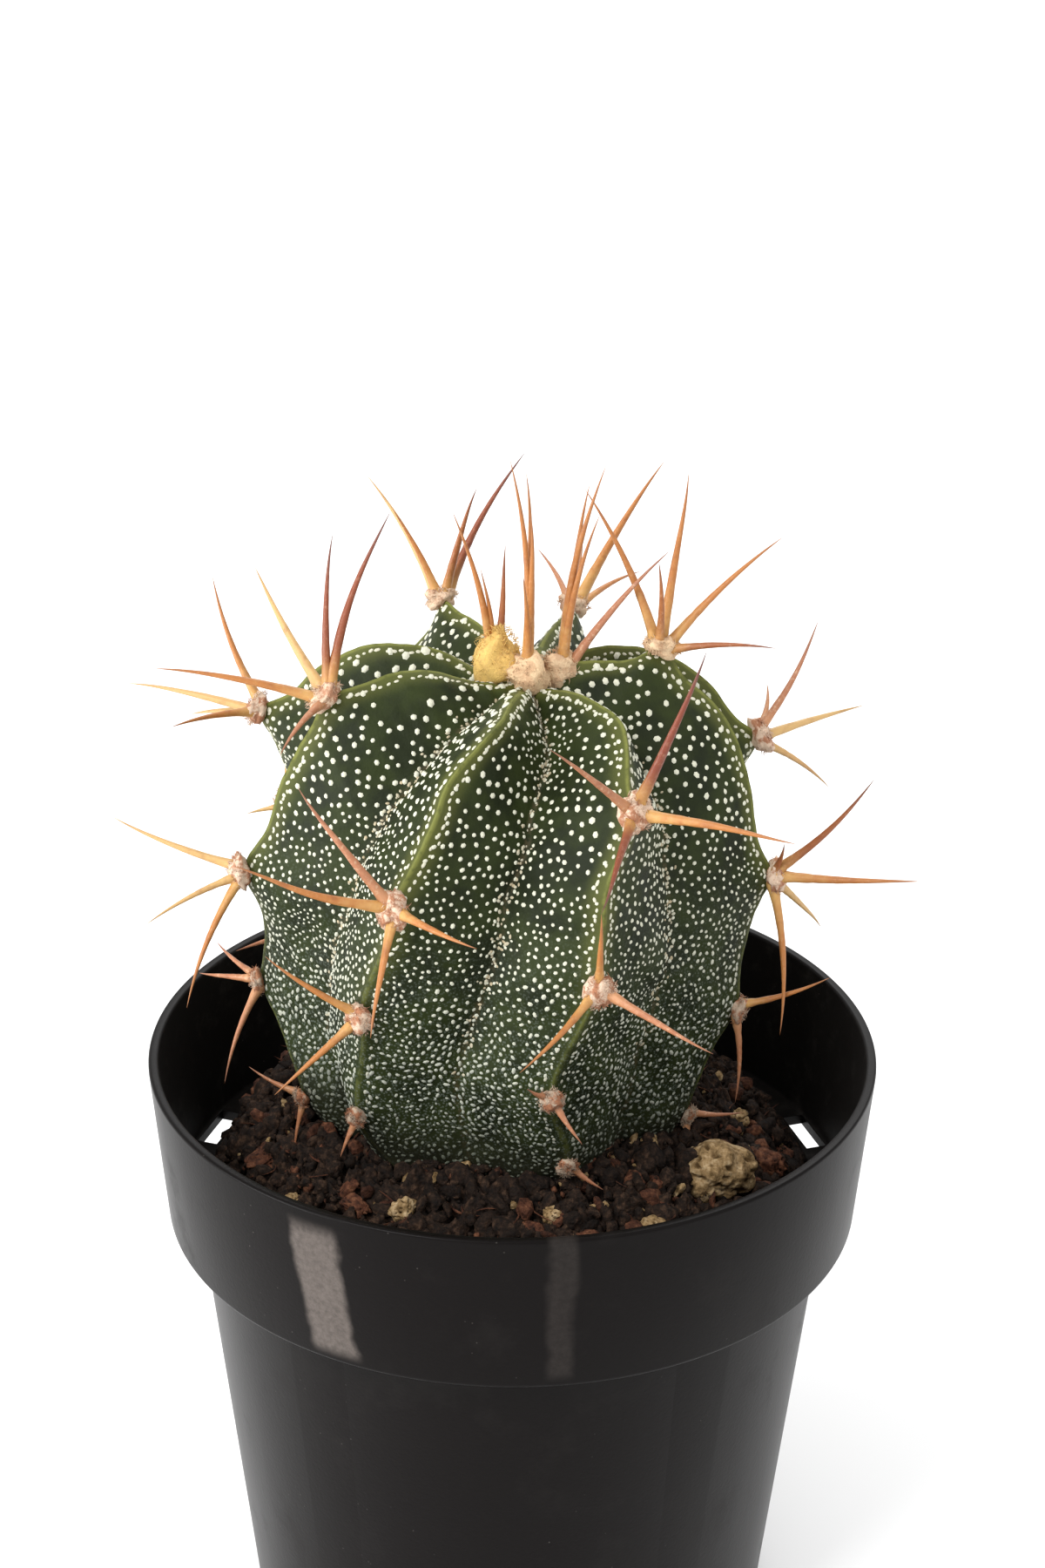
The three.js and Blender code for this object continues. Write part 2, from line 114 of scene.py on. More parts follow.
class Nodes:
    """The node tree of one material, with a Principled surface at its end."""

    def __init__(self, name: str) -> None:
        """Starts an empty material of that name."""
        self.material = bpy.data.materials.new(name)
        self.material.use_nodes = True
        self.tree = self.material.node_tree
        self.tree.nodes.clear()

    def add(
        self,
        kind: str,
        settings: dict | None = None,
        inputs: dict | None = None,
        output: str | int = 0,
    ) -> Channel:
        """Adds a node, sets it up, and links or fills its inputs.

        Args:
            kind: the node's type name.
            settings: properties to set first, or a list of (position, colour) under "stops".
            inputs: what each input socket gets, by name or number: a Channel or a plain value.
            output: the output socket that is wanted.

        Returns:
            The wanted output.
        """
        node = self.tree.nodes.new(kind)
        for key, value in (settings or {}).items():
            if key == "stops":
                self._set_stops(node.color_ramp, value)
            else:
                setattr(node, key, value)
        for key, value in (inputs or {}).items():
            socket = node.inputs[key]
            if isinstance(value, Channel):
                self.tree.links.new(value.socket, socket)
            elif isinstance(value, tuple) and len(value) == 3 and socket.type == "RGBA":
                socket.default_value = (*value, 1.0)
            else:
                socket.default_value = value
        return Channel(self, node.outputs[output])

    @staticmethod
    def _set_stops(ramp: bpy.types.ColorRamp, stops: Sequence[tuple[float, Color]]) -> None:
        """Gives a colour ramp its stops."""
        while len(ramp.elements) < len(stops):
            ramp.elements.new(0.5)
        for element, (position, color) in zip(ramp.elements, stops):
            element.position = position
            element.color = (*color, 1.0)

    def field(self, name: str) -> Channel:
        """A number stored on the mesh's points."""
        return self.add("ShaderNodeAttribute", {"attribute_name": name}, None, "Fac")

    def position(self) -> Channel:
        """Object coordinates."""
        return self.add("ShaderNodeTexCoord", None, None, "Object")

    def scaled(self, x: float, y: float, z: float) -> Channel:
        """Object coordinates stretched along each axis."""
        inputs = {"Vector": self.position(), "Scale": (x, y, z)}
        return self.add("ShaderNodeMapping", None, inputs, "Vector")

    def noise(
        self,
        size_mm: float,
        detail: float = 3.0,
        roughness: float = 0.55,
        at: Channel | None = None,
    ) -> Channel:
        """A noise whose features are about size_mm across."""
        inputs = {
            "Vector": at or self.position(),
            "Scale": 1.0 / (size_mm * MM),
            "Detail": detail,
            "Roughness": roughness,
        }
        return self.add("ShaderNodeTexNoise", None, inputs, "Fac")

    def cells(self, size_mm: float) -> Channel:
        """The distance to the nearest middle in a pattern of cells about size_mm across."""
        inputs = {"Vector": self.position(), "Scale": 1.0 / (size_mm * MM)}
        return self.add("ShaderNodeTexVoronoi", {"feature": "F1"}, inputs, "Distance")

    def mix(self, share: Channel | float, low: Channel | Color, high: Channel | Color) -> Channel:
        """A colour between low, at share 0, and high, at share 1."""
        inputs = {0: share, 6: low, 7: high}
        return self.add("ShaderNodeMix", {"data_type": "RGBA"}, inputs, 2)

    def ramp(self, value: Channel, stops: Sequence[tuple[float, Color]]) -> Channel:
        """A colour read off a ramp."""
        return self.add("ShaderNodeValToRGB", {"stops": stops}, {"Fac": value}, "Color")

    def bump(self, height: Channel, depth_mm: float) -> Channel:
        """A normal raised by height, whose full range is depth_mm deep."""
        inputs = {"Height": height, "Distance": depth_mm * MM, "Strength": 1.0}
        return self.add("ShaderNodeBump", None, inputs, "Normal")

    def surface(self, **inputs: "Channel | float | Color") -> bpy.types.Material:
        """Ends the material in a Principled surface, with underscores for spaces in socket names."""
        named = {key.replace("_", " "): value for key, value in inputs.items()}
        shader = self.add("ShaderNodeBsdfPrincipled", None, named, "BSDF")
        end = self.tree.nodes.new("ShaderNodeOutputMaterial")
        self.tree.links.new(shader.socket, end.inputs["Surface"])
        return self.material


# ---- Finishes -----------------------------------------------------------------------------------


@dataclass(frozen=True)
class StemSkin:
    """Dark green skin: brighter along the crests, woody brown in the furrows, hazed near the foot."""

    dark: Color = (0.019, 0.027, 0.0055)
    deep: Color = (0.008, 0.012, 0.0028)
    lit: Color = (0.034, 0.047, 0.009)
    crest: Color = (0.15, 0.16, 0.038)
    crown: Color = (0.17, 0.15, 0.035)
    haze: Color = (0.12, 0.14, 0.115)
    furrow: Color = (0.06, 0.045, 0.02)
    # Dark brown-green for the foot: painted shade where the foot undercuts, partly soil staining.
    stained: Color = (0.016, 0.015, 0.008)

    def build(self) -> bpy.types.Material:
        """Makes the material."""
        n = Nodes("stem_skin")
        ridge = n.field("ridge")
        climb = n.field("climb")
        furrow = n.field("furrow")
        mottle = n.noise(6.0, 4.0, 0.6)
        color = n.mix(mottle.step(0.35, 0.62), self.deep, self.dark)
        young = climb.step(0.5, 0.9) * n.noise(8.0, 3.0).step(0.3, 0.6)
        color = n.mix(young * 0.75, color, self.lit)
        line = ridge.step(0.62, 0.2) * n.noise(1.1, 2.0).step(0.25, 0.55)
        color = n.mix(ridge.step(3.4, 0.5) * 0.4 * climb.step(0.1, 0.4), color, self.crest)
        color = n.mix(line * (0.3 + 0.65 * climb.step(0.15, 0.45)), color, self.crest)
        color = n.mix(climb.step(0.86, 0.98) * 0.85, color, self.crown)
        speck = n.cells(0.36).step(0.5, 0.2)
        aged = climb.step(0.42, 0.02)
        color = n.mix(speck * aged * 0.6, color, self.haze)
        trough = furrow.step(0.8, 0.1) * n.noise(0.8, 2.0).step(0.42, 0.6)
        color = n.mix(trough * 0.55, color, self.furrow)
        # Painted shade: the skin darkens just above the soil, where the foot undercuts; part of it is soil
        # staining.
        foot_shade = climb.step(0.075, -0.01)
        color = n.mix(foot_shade * 0.8, color, self.stained)
        height = n.noise(0.35, 2.0) * 0.4 + n.noise(1.8, 3.0) * 0.6
        gloss = 0.5 + 0.2 * n.noise(3.0, 2.0) + 0.15 * aged
        normal = n.bump(height, 0.12)
        return n.surface(Base_Color=color, Roughness=gloss, Normal=normal, Specular_IOR_Level=0.16)


@dataclass(frozen=True)
class FleckFelt:
    """The tiny tufts of white wool that speckle the skin."""

    fresh: Color = (0.62, 0.62, 0.5)
    old: Color = (0.25, 0.27, 0.235)
    stained: Color = (0.42, 0.33, 0.2)
    # Dim grey-green for flecks near the soil: painted shade of the undercut foot.
    foot_shade: Color = (0.09, 0.1, 0.075)

    def build(self) -> bpy.types.Material:
        """Makes the material."""
        n = Nodes("fleck_felt")
        color = n.mix(n.field("age"), self.fresh, self.old)
        color = n.mix(n.field("stain"), color, self.stained)
        # Flecks near the soil are dimmed with painted shade.
        color = n.mix(n.field("sunk"), color, self.foot_shade)
        color = n.mix(n.noise(0.3, 2.0).step(0.35, 0.75) * 0.25, color, (0.3, 0.3, 0.22))
        normal = n.bump(n.noise(0.12, 2.0), 0.05)
        return n.surface(Base_Color=color, Roughness=0.9, Normal=normal, Specular_IOR_Level=0.2)


@dataclass(frozen=True)
class SpineHorn:
    """Horny spines: straw at the root, then amber, straw, rose or russet, with dusky tips."""

    root: Color = (0.56, 0.33, 0.11)
    shaft: Color = (0.42, 0.165, 0.042)
    red: Color = (0.17, 0.035, 0.018)
    pale: Color = (0.56, 0.37, 0.15)
    rose: Color = (0.46, 0.21, 0.12)
    tip: Color = (0.1, 0.05, 0.045)

    def build(self) -> bpy.types.Material:
        """Makes the material."""
        n = Nodes("spine_horn")
        along = n.field("along")
        red = n.field("red")
        streaked = (along + n.noise(1.2, 3.0) * 0.5 - 0.25).clamped()
        color = n.ramp(streaked, ((0.0, self.root), (0.4, self.shaft), (0.85, self.shaft)))
        color = n.mix(n.field("pale"), color, self.pale)
        color = n.mix(n.field("rose"), color, self.rose)
        color = n.mix(red * along.step(0.0, 0.3), color, self.red)
        scales = n.noise(0.55, 3.0, 0.7)
        color = n.mix(scales.step(0.52, 0.72) * (0.15 + 0.4 * n.field("rose")), color, (0.66, 0.46, 0.3))
        color = n.mix(n.noise(1.5, 2.0).step(0.5, 0.75) * 0.3, color, self.red)
        dusk = along.step(0.6, 1.0) * (0.25 + 0.65 * red)
        color = n.mix(dusk, color, self.tip)
        height = n.noise(0.3, 3.0) * 0.5 + scales * 0.5
        normal = n.bump(height, 0.09)
        return n.surface(Base_Color=color, Roughness=0.42, Normal=normal, Specular_IOR_Level=0.35)


@dataclass(frozen=True)
class AreoleWool:
    """The felted wool of the areoles: yellow when new, then cream, then grey."""

    new: Color = (0.72, 0.48, 0.15)
    cream: Color = (0.7, 0.53, 0.4)
    old: Color = (0.34, 0.27, 0.2)
    rust: Color = (0.34, 0.13, 0.06)

    def build(self) -> bpy.types.Material:
        """Makes the material."""
        n = Nodes("areole_wool")
        color = n.mix(n.field("new"), self.cream, self.new)
        color = n.mix(n.field("aged"), color, self.old)
        matting = n.noise(0.5, 3.0, 0.7)
        color = n.mix(n.noise(1.3, 3.0, 0.6).step(0.44, 0.6) * n.field("rusty"), color, self.rust)
        color = n.mix(matting.step(0.45, 0.75) * 0.35, color, (0.4, 0.24, 0.14))
        normal = n.bump(matting * 0.6 + n.noise(0.12, 2.0) * 0.4, 0.25)
        return n.surface(Base_Color=color, Roughness=0.95, Normal=normal, Specular_IOR_Level=0.2)


@dataclass(frozen=True)
class BlackPlastic:
    """Thin moulded black plastic: satin, with faint flow lines, dust and two painted highlight streaks."""

    base: Color = (0.0034, 0.0025, 0.0023)
    dust: Color = (0.085, 0.078, 0.07)
    # Painted highlight: the colour of the lamp reflections painted onto the collar.
    painted_sheen: Color = (0.13, 0.11, 0.098)
    streak_bearing: float = -17.5
    streak_slope: float = 0.17
    streak_half: float = 3.7
    faint_bearing: float = 7.5
    faint_half: float = 1.7

    def _highlight_streak(self, n: Nodes, bearing: Channel, middle: float, half: float) -> Channel:
        """A soft-edged upright streak of painted highlight at a bearing."""
        ragged = n.noise(5.0, 3.0) * 3.0 - 1.5
        away = n.add("ShaderNodeMath", {"operation": "ABSOLUTE"}, {0: bearing - middle + ragged})
        return away.step(half + 1.1, half - 0.6)

    def build(self) -> bpy.types.Material:
        """Makes the material."""
        n = Nodes("black_plastic")
        flow = n.noise(9.0, 3.0, 0.6, n.scaled(1.0, 1.0, 0.12))
        scuff = n.noise(14.0, 5.0, 0.7).step(0.52, 0.75)
        inner = n.field("inner")
        soiled = inner * n.noise(4.0, 5.0, 0.7).step(0.5, 0.8)
        color = n.mix(scuff * 0.04 + soiled * 0.2 + inner * 0.06, self.base, self.dust)
        bearing = n.field("bearing")
        level = n.field("level")
        # The two upright streaks on the outside of the collar are painted highlights: reflections of the
        # lights lightened into the colour.
        leaning = bearing + level * self.streak_slope
        streak = self._highlight_streak(n, leaning, self.streak_bearing, self.streak_half)
        streak = streak * level.step(79.0, 76.0)
        faint = self._highlight_streak(n, bearing, self.faint_bearing, self.faint_half) * 0.16
        grain = n.noise(0.7, 3.0, 0.7).step(0.2, 0.8) * 0.35 + 0.5
        outside = (1.0 - inner) * level.step(59.5, 61.5)
        # Lays the painted highlight streaks onto the collar's outside.
        color = n.mix((streak + faint) * grain * outside, color, self.painted_sheen)
        specks = n.cells(1.7).step(0.075, 0.03) * n.noise(20.0, 2.0).step(0.45, 0.6)
        color = n.mix(specks * 0.6, color, self.dust)
        gloss = 0.3 + 0.08 * flow + 0.1 * scuff + 0.3 * inner
        normal = n.bump(flow * 0.7 + n.noise(0.5, 2.0) * 0.3, 0.05)
        return n.surface(Base_Color=color, Roughness=gloss, Normal=normal, Specular_IOR_Level=0.075)


class SoilTone(Enum):
    """What a crumb of the potting mix is."""

    PEAT = "peat"
    BARK = "bark"
    MINERAL = "mineral"


SOIL_COLORS: dict[SoilTone, tuple[Color, Color, Color]] = {
    SoilTone.PEAT: ((0.004, 0.0024, 0.0017), (0.02, 0.0105, 0.0062), (0.08, 0.044, 0.026)),
    SoilTone.BARK: ((0.02, 0.008, 0.005), (0.085, 0.03, 0.015), (0.21, 0.09, 0.045)),
    SoilTone.MINERAL: ((0.08, 0.045, 0.015), (0.3, 0.195, 0.09), (0.56, 0.42, 0.25)),
}


@dataclass(frozen=True)
class CrumbFinish:
    """The finish of one kind of crumb: broken colour, pits and a dull surface."""

    tone: SoilTone
    grain_mm: float = 0.8

    def build(self) -> bpy.types.Material:
        """Makes the material."""
        dark, middle, pale = SOIL_COLORS[self.tone]
        n = Nodes(f"soil_{self.tone.value}")
        patch = n.noise(self.grain_mm, 4.0, 0.65)
        color = n.ramp(patch, ((0.32, dark), (0.52, middle), (0.72, pale)))
        color = n.mix(n.field("shade"), color, dark)
        pits = n.cells(self.grain_mm * 0.7)
        normal = n.bump(pits * 0.6 + n.noise(0.25, 3.0) * 0.4, 0.35)
        return n.surface(Base_Color=color, Roughness=0.85, Normal=normal, Specular_IOR_Level=0.2)


@dataclass(frozen=True)
class StudioFloor:
    """The plain pale floor."""

    color: Color = (0.92, 0.92, 0.92)

    def build(self) -> bpy.types.Material:
        """Makes the material."""
        n = Nodes("studio_floor")
        return n.surface(Base_Color=self.color, Roughness=0.7)


# ---- Mesh building ------------------------------------------------------------------------------


@dataclass
class MeshDraft:
    """Points and faces gathered in millimetres, with numbers stored on the points."""

    name: str
    points: list[Array] = field(default_factory=list)
    faces: list[Array] = field(default_factory=list)
    fields: dict[str, list[Array]] = field(default_factory=dict)
    count: int = 0

    def add(self, points: Array, faces: Array, **numbers: "Array | float") -> None:
        """Adds a patch.

        Args:
            points: its points, one to a row.
            faces: its faces, as rows of point numbers within the patch.
            numbers: a number, or one for each point, to store under each name.
        """
        self.points.append(points)
        self.faces.append(faces + self.count)
        self.count += len(points)
        for key, value in numbers.items():
            filled = np.broadcast_to(np.asarray(value, float), (len(points),))
            self.fields.setdefault(key, []).append(filled)

    def build(self, material: bpy.types.Material, smooth: bool = True) -> bpy.types.Object:
        """Makes the object, in metres, and dresses it."""
        mesh = bpy.data.meshes.new(self.name)
        points = np.concatenate(self.points).astype(np.float32) * MM
        corners = np.concatenate([f.ravel() for f in self.faces]).astype(np.int32)
        sizes = np.concatenate([np.full(len(f), f.shape[1]) for f in self.faces])
        mesh.vertices.add(len(points))
        mesh.vertices.foreach_set("co", points.ravel())
        mesh.loops.add(len(corners))
        mesh.loops.foreach_set("vertex_index", corners)
        mesh.polygons.add(len(sizes))
        starts = np.concatenate(([0], np.cumsum(sizes)[:-1])).astype(np.int32)
        mesh.polygons.foreach_set("loop_start", starts)
        mesh.polygons.foreach_set("use_smooth", np.full(len(sizes), smooth))
        mesh.update(calc_edges=True)
        for key, values in self.fields.items():
            attribute = mesh.attributes.new(key, "FLOAT", "POINT")
            attribute.data.foreach_set("value", np.concatenate(values).astype(np.float32))
        mesh.validate()
        mesh.materials.append(material)
        piece = bpy.data.objects.new(self.name, mesh)
        bpy.context.scene.collection.objects.link(piece)
        return piece


def settle(piece: bpy.types.Object, slot: str, *nodes: str) -> bpy.types.Object:
    """Rides a piece on the part and hides the CAD nodes that it stands for."""
    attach(piece, "root")
    if nodes:
        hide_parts(*nodes)
    log.info("%s: %d faces", piece.name, len(piece.data.polygons))
    return piece


def grid_faces(rows: int, columns: int, closed: bool) -> Array:
    """The quads of a grid of points, row by row, that may close round on itself."""
    last = columns if closed else columns - 1
    row, column = np.meshgrid(np.arange(rows - 1), np.arange(last), indexing="ij")
    here = row * columns + column
    beside = row * columns + (column + 1) % columns
    quads = np.stack([here, beside, beside + columns, here + columns], axis=-1)
    return quads.reshape(-1, 4)


def unit(vectors: Array) -> Array:
    """Vectors scaled to length 1."""
    length = np.linalg.norm(vectors, axis=-1, keepdims=True)
    return vectors / np.maximum(length, 1e-9)


def smoothstep(value: Array, low: float, high: float) -> Array:
    """0 below low, 1 above high, and a smooth rise between."""
    share = np.clip((value - low) / (high - low), 0.0, 1.0)
    return share * share * (3.0 - 2.0 * share)


class Ripple:
    """A smooth, repeatable unevenness in space, between about -1 and 1."""

    def __init__(self, seed: int, size: float, waves: int = 9) -> None:
        """Draws its waves, whose length is about size."""
        random = np.random.default_rng(seed)
        self.turns = unit(random.normal(size=(waves, 3))) * (2 * math.pi / size)
        self.turns *= random.uniform(0.6, 1.5, (waves, 1))
        self.starts = random.uniform(0, 2 * math.pi, waves)

    def __call__(self, points: Array) -> Array:
        """The unevenness at each point."""
        waves = np.sin(points @ self.turns.T + self.starts)
        return waves.sum(axis=-1) / math.sqrt(len(self.starts) / 2)


# ---- Stem ---------------------------------------------------------------------------------------


class Tone(Enum):
    """The colour of a spine, as its shares of red, pale and rose."""

    AMBER = (0.1, 0.0, 0.0)
    STRAW = (0.0, 0.75, 0.0)
    ROSE = (0.25, 0.0, 0.7)
    BROWN = (0.55, 0.0, 0.1)
    RUSSET = (0.85, 0.0, 0.0)


AMBER, STRAW, ROSE, BROWN, RUSSET = Tone


@dataclass(frozen=True)
class Spine:
    """One spine of an areole.

    Its clock is 0 up the rib and 90 to the right as seen from outside, and its tilt is the angle
    from the outward normal, in degrees.
    """

    clock: float
    tilt: float
    length: float
    tone: Tone


@dataclass(frozen=True)
class Areole:
    """A place on a crest: climb 0 at the soil to 1 at the crown, its bearing, swell and spines."""

    climb: float
    bearing: float
    swell: float
    spines: tuple[Spine, ...] = ()


@dataclass(frozen=True)
class Rib:
    """One rib: its reach, its arch over the shoulder, and the areoles that its crest runs through."""

    name: str
    reach: float
    arch: float
    areoles: tuple[Areole, ...]


RIBS: tuple[Rib, ...] = (
    Rib("rib_1", 1, -0.9, (
        Areole(-0.1, -66, 0),
        Areole(0.02, -62, 1, (
            Spine(-60, 62, 8, ROSE), Spine(170, 60, 7, ROSE),
        )),
        Areole(0.115, -84, 1.6, (
            Spine(-95, 42, 10.5, ROSE), Spine(-72, 60, 10, ROSE), Spine(150, 62, 13.5, ROSE),
        )),
        Areole(0.26, -80, 2.6, (
            Spine(-60, 29, 17.5, STRAW), Spine(140, 28, 13.5, STRAW), Spine(146, 66, 18, AMBER),
        )),
        Areole(0.56, -74, 1.2, (
            Spine(-25, 50, 19.5, RUSSET), Spine(-13, 62, 23.5, RUSSET), Spine(-80, 54, 20, STRAW),
            Spine(-160, 42, 20.5, AMBER), Spine(125, 75, 13, ROSE),
        )),
        Areole(1, -80, 0),
    )),
    Rib("rib_2", 1, 0, (
        Areole(-0.1, -25, 0),
        Areole(0.05, -37, 0.8, (
            Spine(-173, 49, 5.5, ROSE),
        )),
        Areole(0.19, -33, 1, (
            Spine(-45, 62, 14, AMBER), Spine(-146, 40, 13.5, AMBER),
        )),
        Areole(0.34, -26, 1.4, (
            Spine(-36, 66, 19, ROSE), Spine(-75, 50, 20, AMBER), Spine(85, 67, 14.5, AMBER),
            Spine(166, 60, 15, AMBER),
        )),
        Areole(0.5, -21, 0),
        Areole(0.7, -10, 0),
        Areole(1, -4, 0),
    )),
    Rib("rib_3", 1, 0, (
        Areole(-0.1, 24, 0),
        Areole(0.02, 20, 0.6, (
            Spine(120, 62, 5.5, ROSE),
        )),
        Areole(0.12, 12, 0.6, (
            Spine(140, 52, 6.5, ROSE), Spine(-50, 72, 5, ROSE),
        )),
        Areole(0.26, 19, 1, (
            Spine(-122, 66, 14, AMBER), Spine(105, 43, 15.5, ROSE), Spine(-10, 79, 11.5, AMBER),
        )),
        Areole(0.37, 20, 0),
        Areole(0.5, 27, 1.6, (
            Spine(16, 56, 21.5, RUSSET), Spine(-58, 69, 16, ROSE), Spine(113, 45, 19.5, AMBER),
            Spine(-138, 65, 15.5, RUSSET),
        )),
        Areole(0.7, 40, 0),
        Areole(1, 46, 0),
    )),
    Rib("rib_4", 0.98, 1.7, (
        Areole(-0.1, 68, 0),
        Areole(0.02, 66, 0.6, (
            Spine(80, 45, 8, ROSE), Spine(-165, 58, 7.5, ROSE),
        )),
        Areole(0.14, 76, 1, (
            Spine(4, 39, 12.5, AMBER), Spine(-169, 73, 12, ROSE),
        )),
        Areole(0.29, 84, 2, (
            Spine(-10, 53, 19, BROWN), Spine(-57, 13, 18.5, AMBER), Spine(-159, 83, 19.5, AMBER),
            Spine(-28, 80, 7, BROWN), Spine(145, 62, 14, STRAW),
        )),
        Areole(0.68, 98, 2.6, (
            Spine(75, 18, 21.5, AMBER), Spine(-35, 24, 13, BROWN), Spine(30, 44, 21.5, AMBER),
            Spine(168, 35, 20, AMBER), Spine(-150, 68, 14.5, BROWN),
        )),
        Areole(1, 98, 0),
    )),
    Rib("rib_5", 1.02, 1.5, (
        Areole(-0.1, 112, 0),
        Areole(0.08, 118, 1, (
            Spine(-100, 50, 7, STRAW), Spine(150, 55, 7, ROSE),
        )),
        Areole(0.24, 122, 1, (
            Spine(60, 60, 9, STRAW), Spine(130, 55, 9, AMBER), Spine(-165, 62, 11, STRAW),
        )),
        Areole(0.43, 110, 2.4, (
            Spine(15, 43, 16.5, ROSE), Spine(134, 19, 17, STRAW), Spine(172, 55, 15, STRAW),
            Spine(95, 62, 15, AMBER),
        )),
        Areole(0.75, 126, 0),
        Areole(1, 130, 0),
    )),
    Rib("rib_6", 1.02, 0, (
        Areole(-0.1, 160, 0),
        Areole(0.15, 158, 1, (
            Spine(-60, 50, 12, ROSE), Spine(70, 45, 12, STRAW), Spine(180, 62, 9, AMBER),
        )),
        Areole(0.33, 164, 1.2, (
            Spine(-40, 40, 13, AMBER), Spine(50, 40, 13, STRAW), Spine(-110, 40, 16, ROSE),
            Spine(140, 60, 15, AMBER),
        )),
        Areole(0.58, 166, 2, (
            Spine(163, 33, 13, AMBER), Spine(125, 46, 12, ROSE), Spine(-45, 36, 22.5, AMBER),
            Spine(-152, 53, 15, AMBER),
        )),
        Areole(1, 170, 0),
    )),
    Rib("rib_7", 1.02, 0, (
        Areole(-0.1, -150, 0),
        Areole(0.05, -150, 1, (
            Spine(60, 55, 5, ROSE), Spine(-80, 55, 5.5, ROSE),
        )),
        Areole(0.2, -146, 1, (
            Spine(-45, 45, 13, AMBER), Spine(80, 40, 12, STRAW), Spine(175, 60, 12, AMBER),
        )),
        Areole(0.38, -142, 1.2, (
            Spine(-110, 50, 12, AMBER), Spine(100, 50, 8, STRAW), Spine(-150, 60, 14, AMBER),
            Spine(170, 50, 16, ROSE),
        )),
        Areole(0.58, -154, 2.4, (
            Spine(-45, 43, 21.5, RUSSET), Spine(-8, 50, 17, BROWN), Spine(58, 31, 13.5, AMBER),
            Spine(132, 20, 19.5, STRAW),
        )),
        Areole(1, -156, 0),
    )),
    Rib("rib_8", 1.06, -0.8, (
        Areole(-0.1, -112, 0),
        Areole(0.1, -116, 1, (
            Spine(90, 50, 8, ROSE), Spine(-60, 45, 8.5, STRAW), Spine(170, 60, 7, ROSE),
        )),
        Areole(0.25, -120, 1, (
            Spine(-60, 62, 11, STRAW), Spine(110, 40, 5.5, STRAW), Spine(-165, 60, 13, AMBER),
        )),
        Areole(0.43, -104, 2.8, (
            Spine(-20, 44, 17.5, AMBER), Spine(-170, 20, 18, STRAW), Spine(-148, 48, 13, STRAW),
            Spine(95, 58, 14, AMBER),
        )),
        Areole(1, -112, 0),
    )),
)


class Outline:
    """A smooth profile through a few [radius, height] points."""

    def __init__(self, points: Sequence[tuple[float, float]]) -> None:
        """Keeps the points, with both ends doubled."""
        inner = np.array(points, float)
        self.points = np.concatenate([inner[:1], inner, inner[-1:]])
        self.steps = len(points) - 1

    def at(self, share: Array) -> Array:
        """The [radius, height] at each share of the way along."""
        place = np.clip(share, 0.0, 1.0) * self.steps
        index = np.minimum(place.astype(int), self.steps - 1)
        t = (place - index)[..., None]
        p0, p1, p2, p3 = (self.points[index + k] for k in range(4))
        v0, v1 = (p2 - p0) / 2, (p3 - p1) / 2
        cubic = (2 * p1 - 2 * p2 + v0 + v1) * t**3
        return cubic + (-3 * p1 + 3 * p2 - 2 * v0 - v1) * t**2 + v0 * t + p1

    def offset(self, share: Array, out: Array) -> Array:
        """The points moved outward, square to the profile."""
        small = 1e-3
        along = unit(self.at(np.minimum(share + small, 1.0)) - self.at(np.maximum(share - small, 0.0)))
        normal = np.stack([along[..., 1], -along[..., 0]], axis=-1)
        return self.at(share) + normal * np.asarray(out)[..., None]


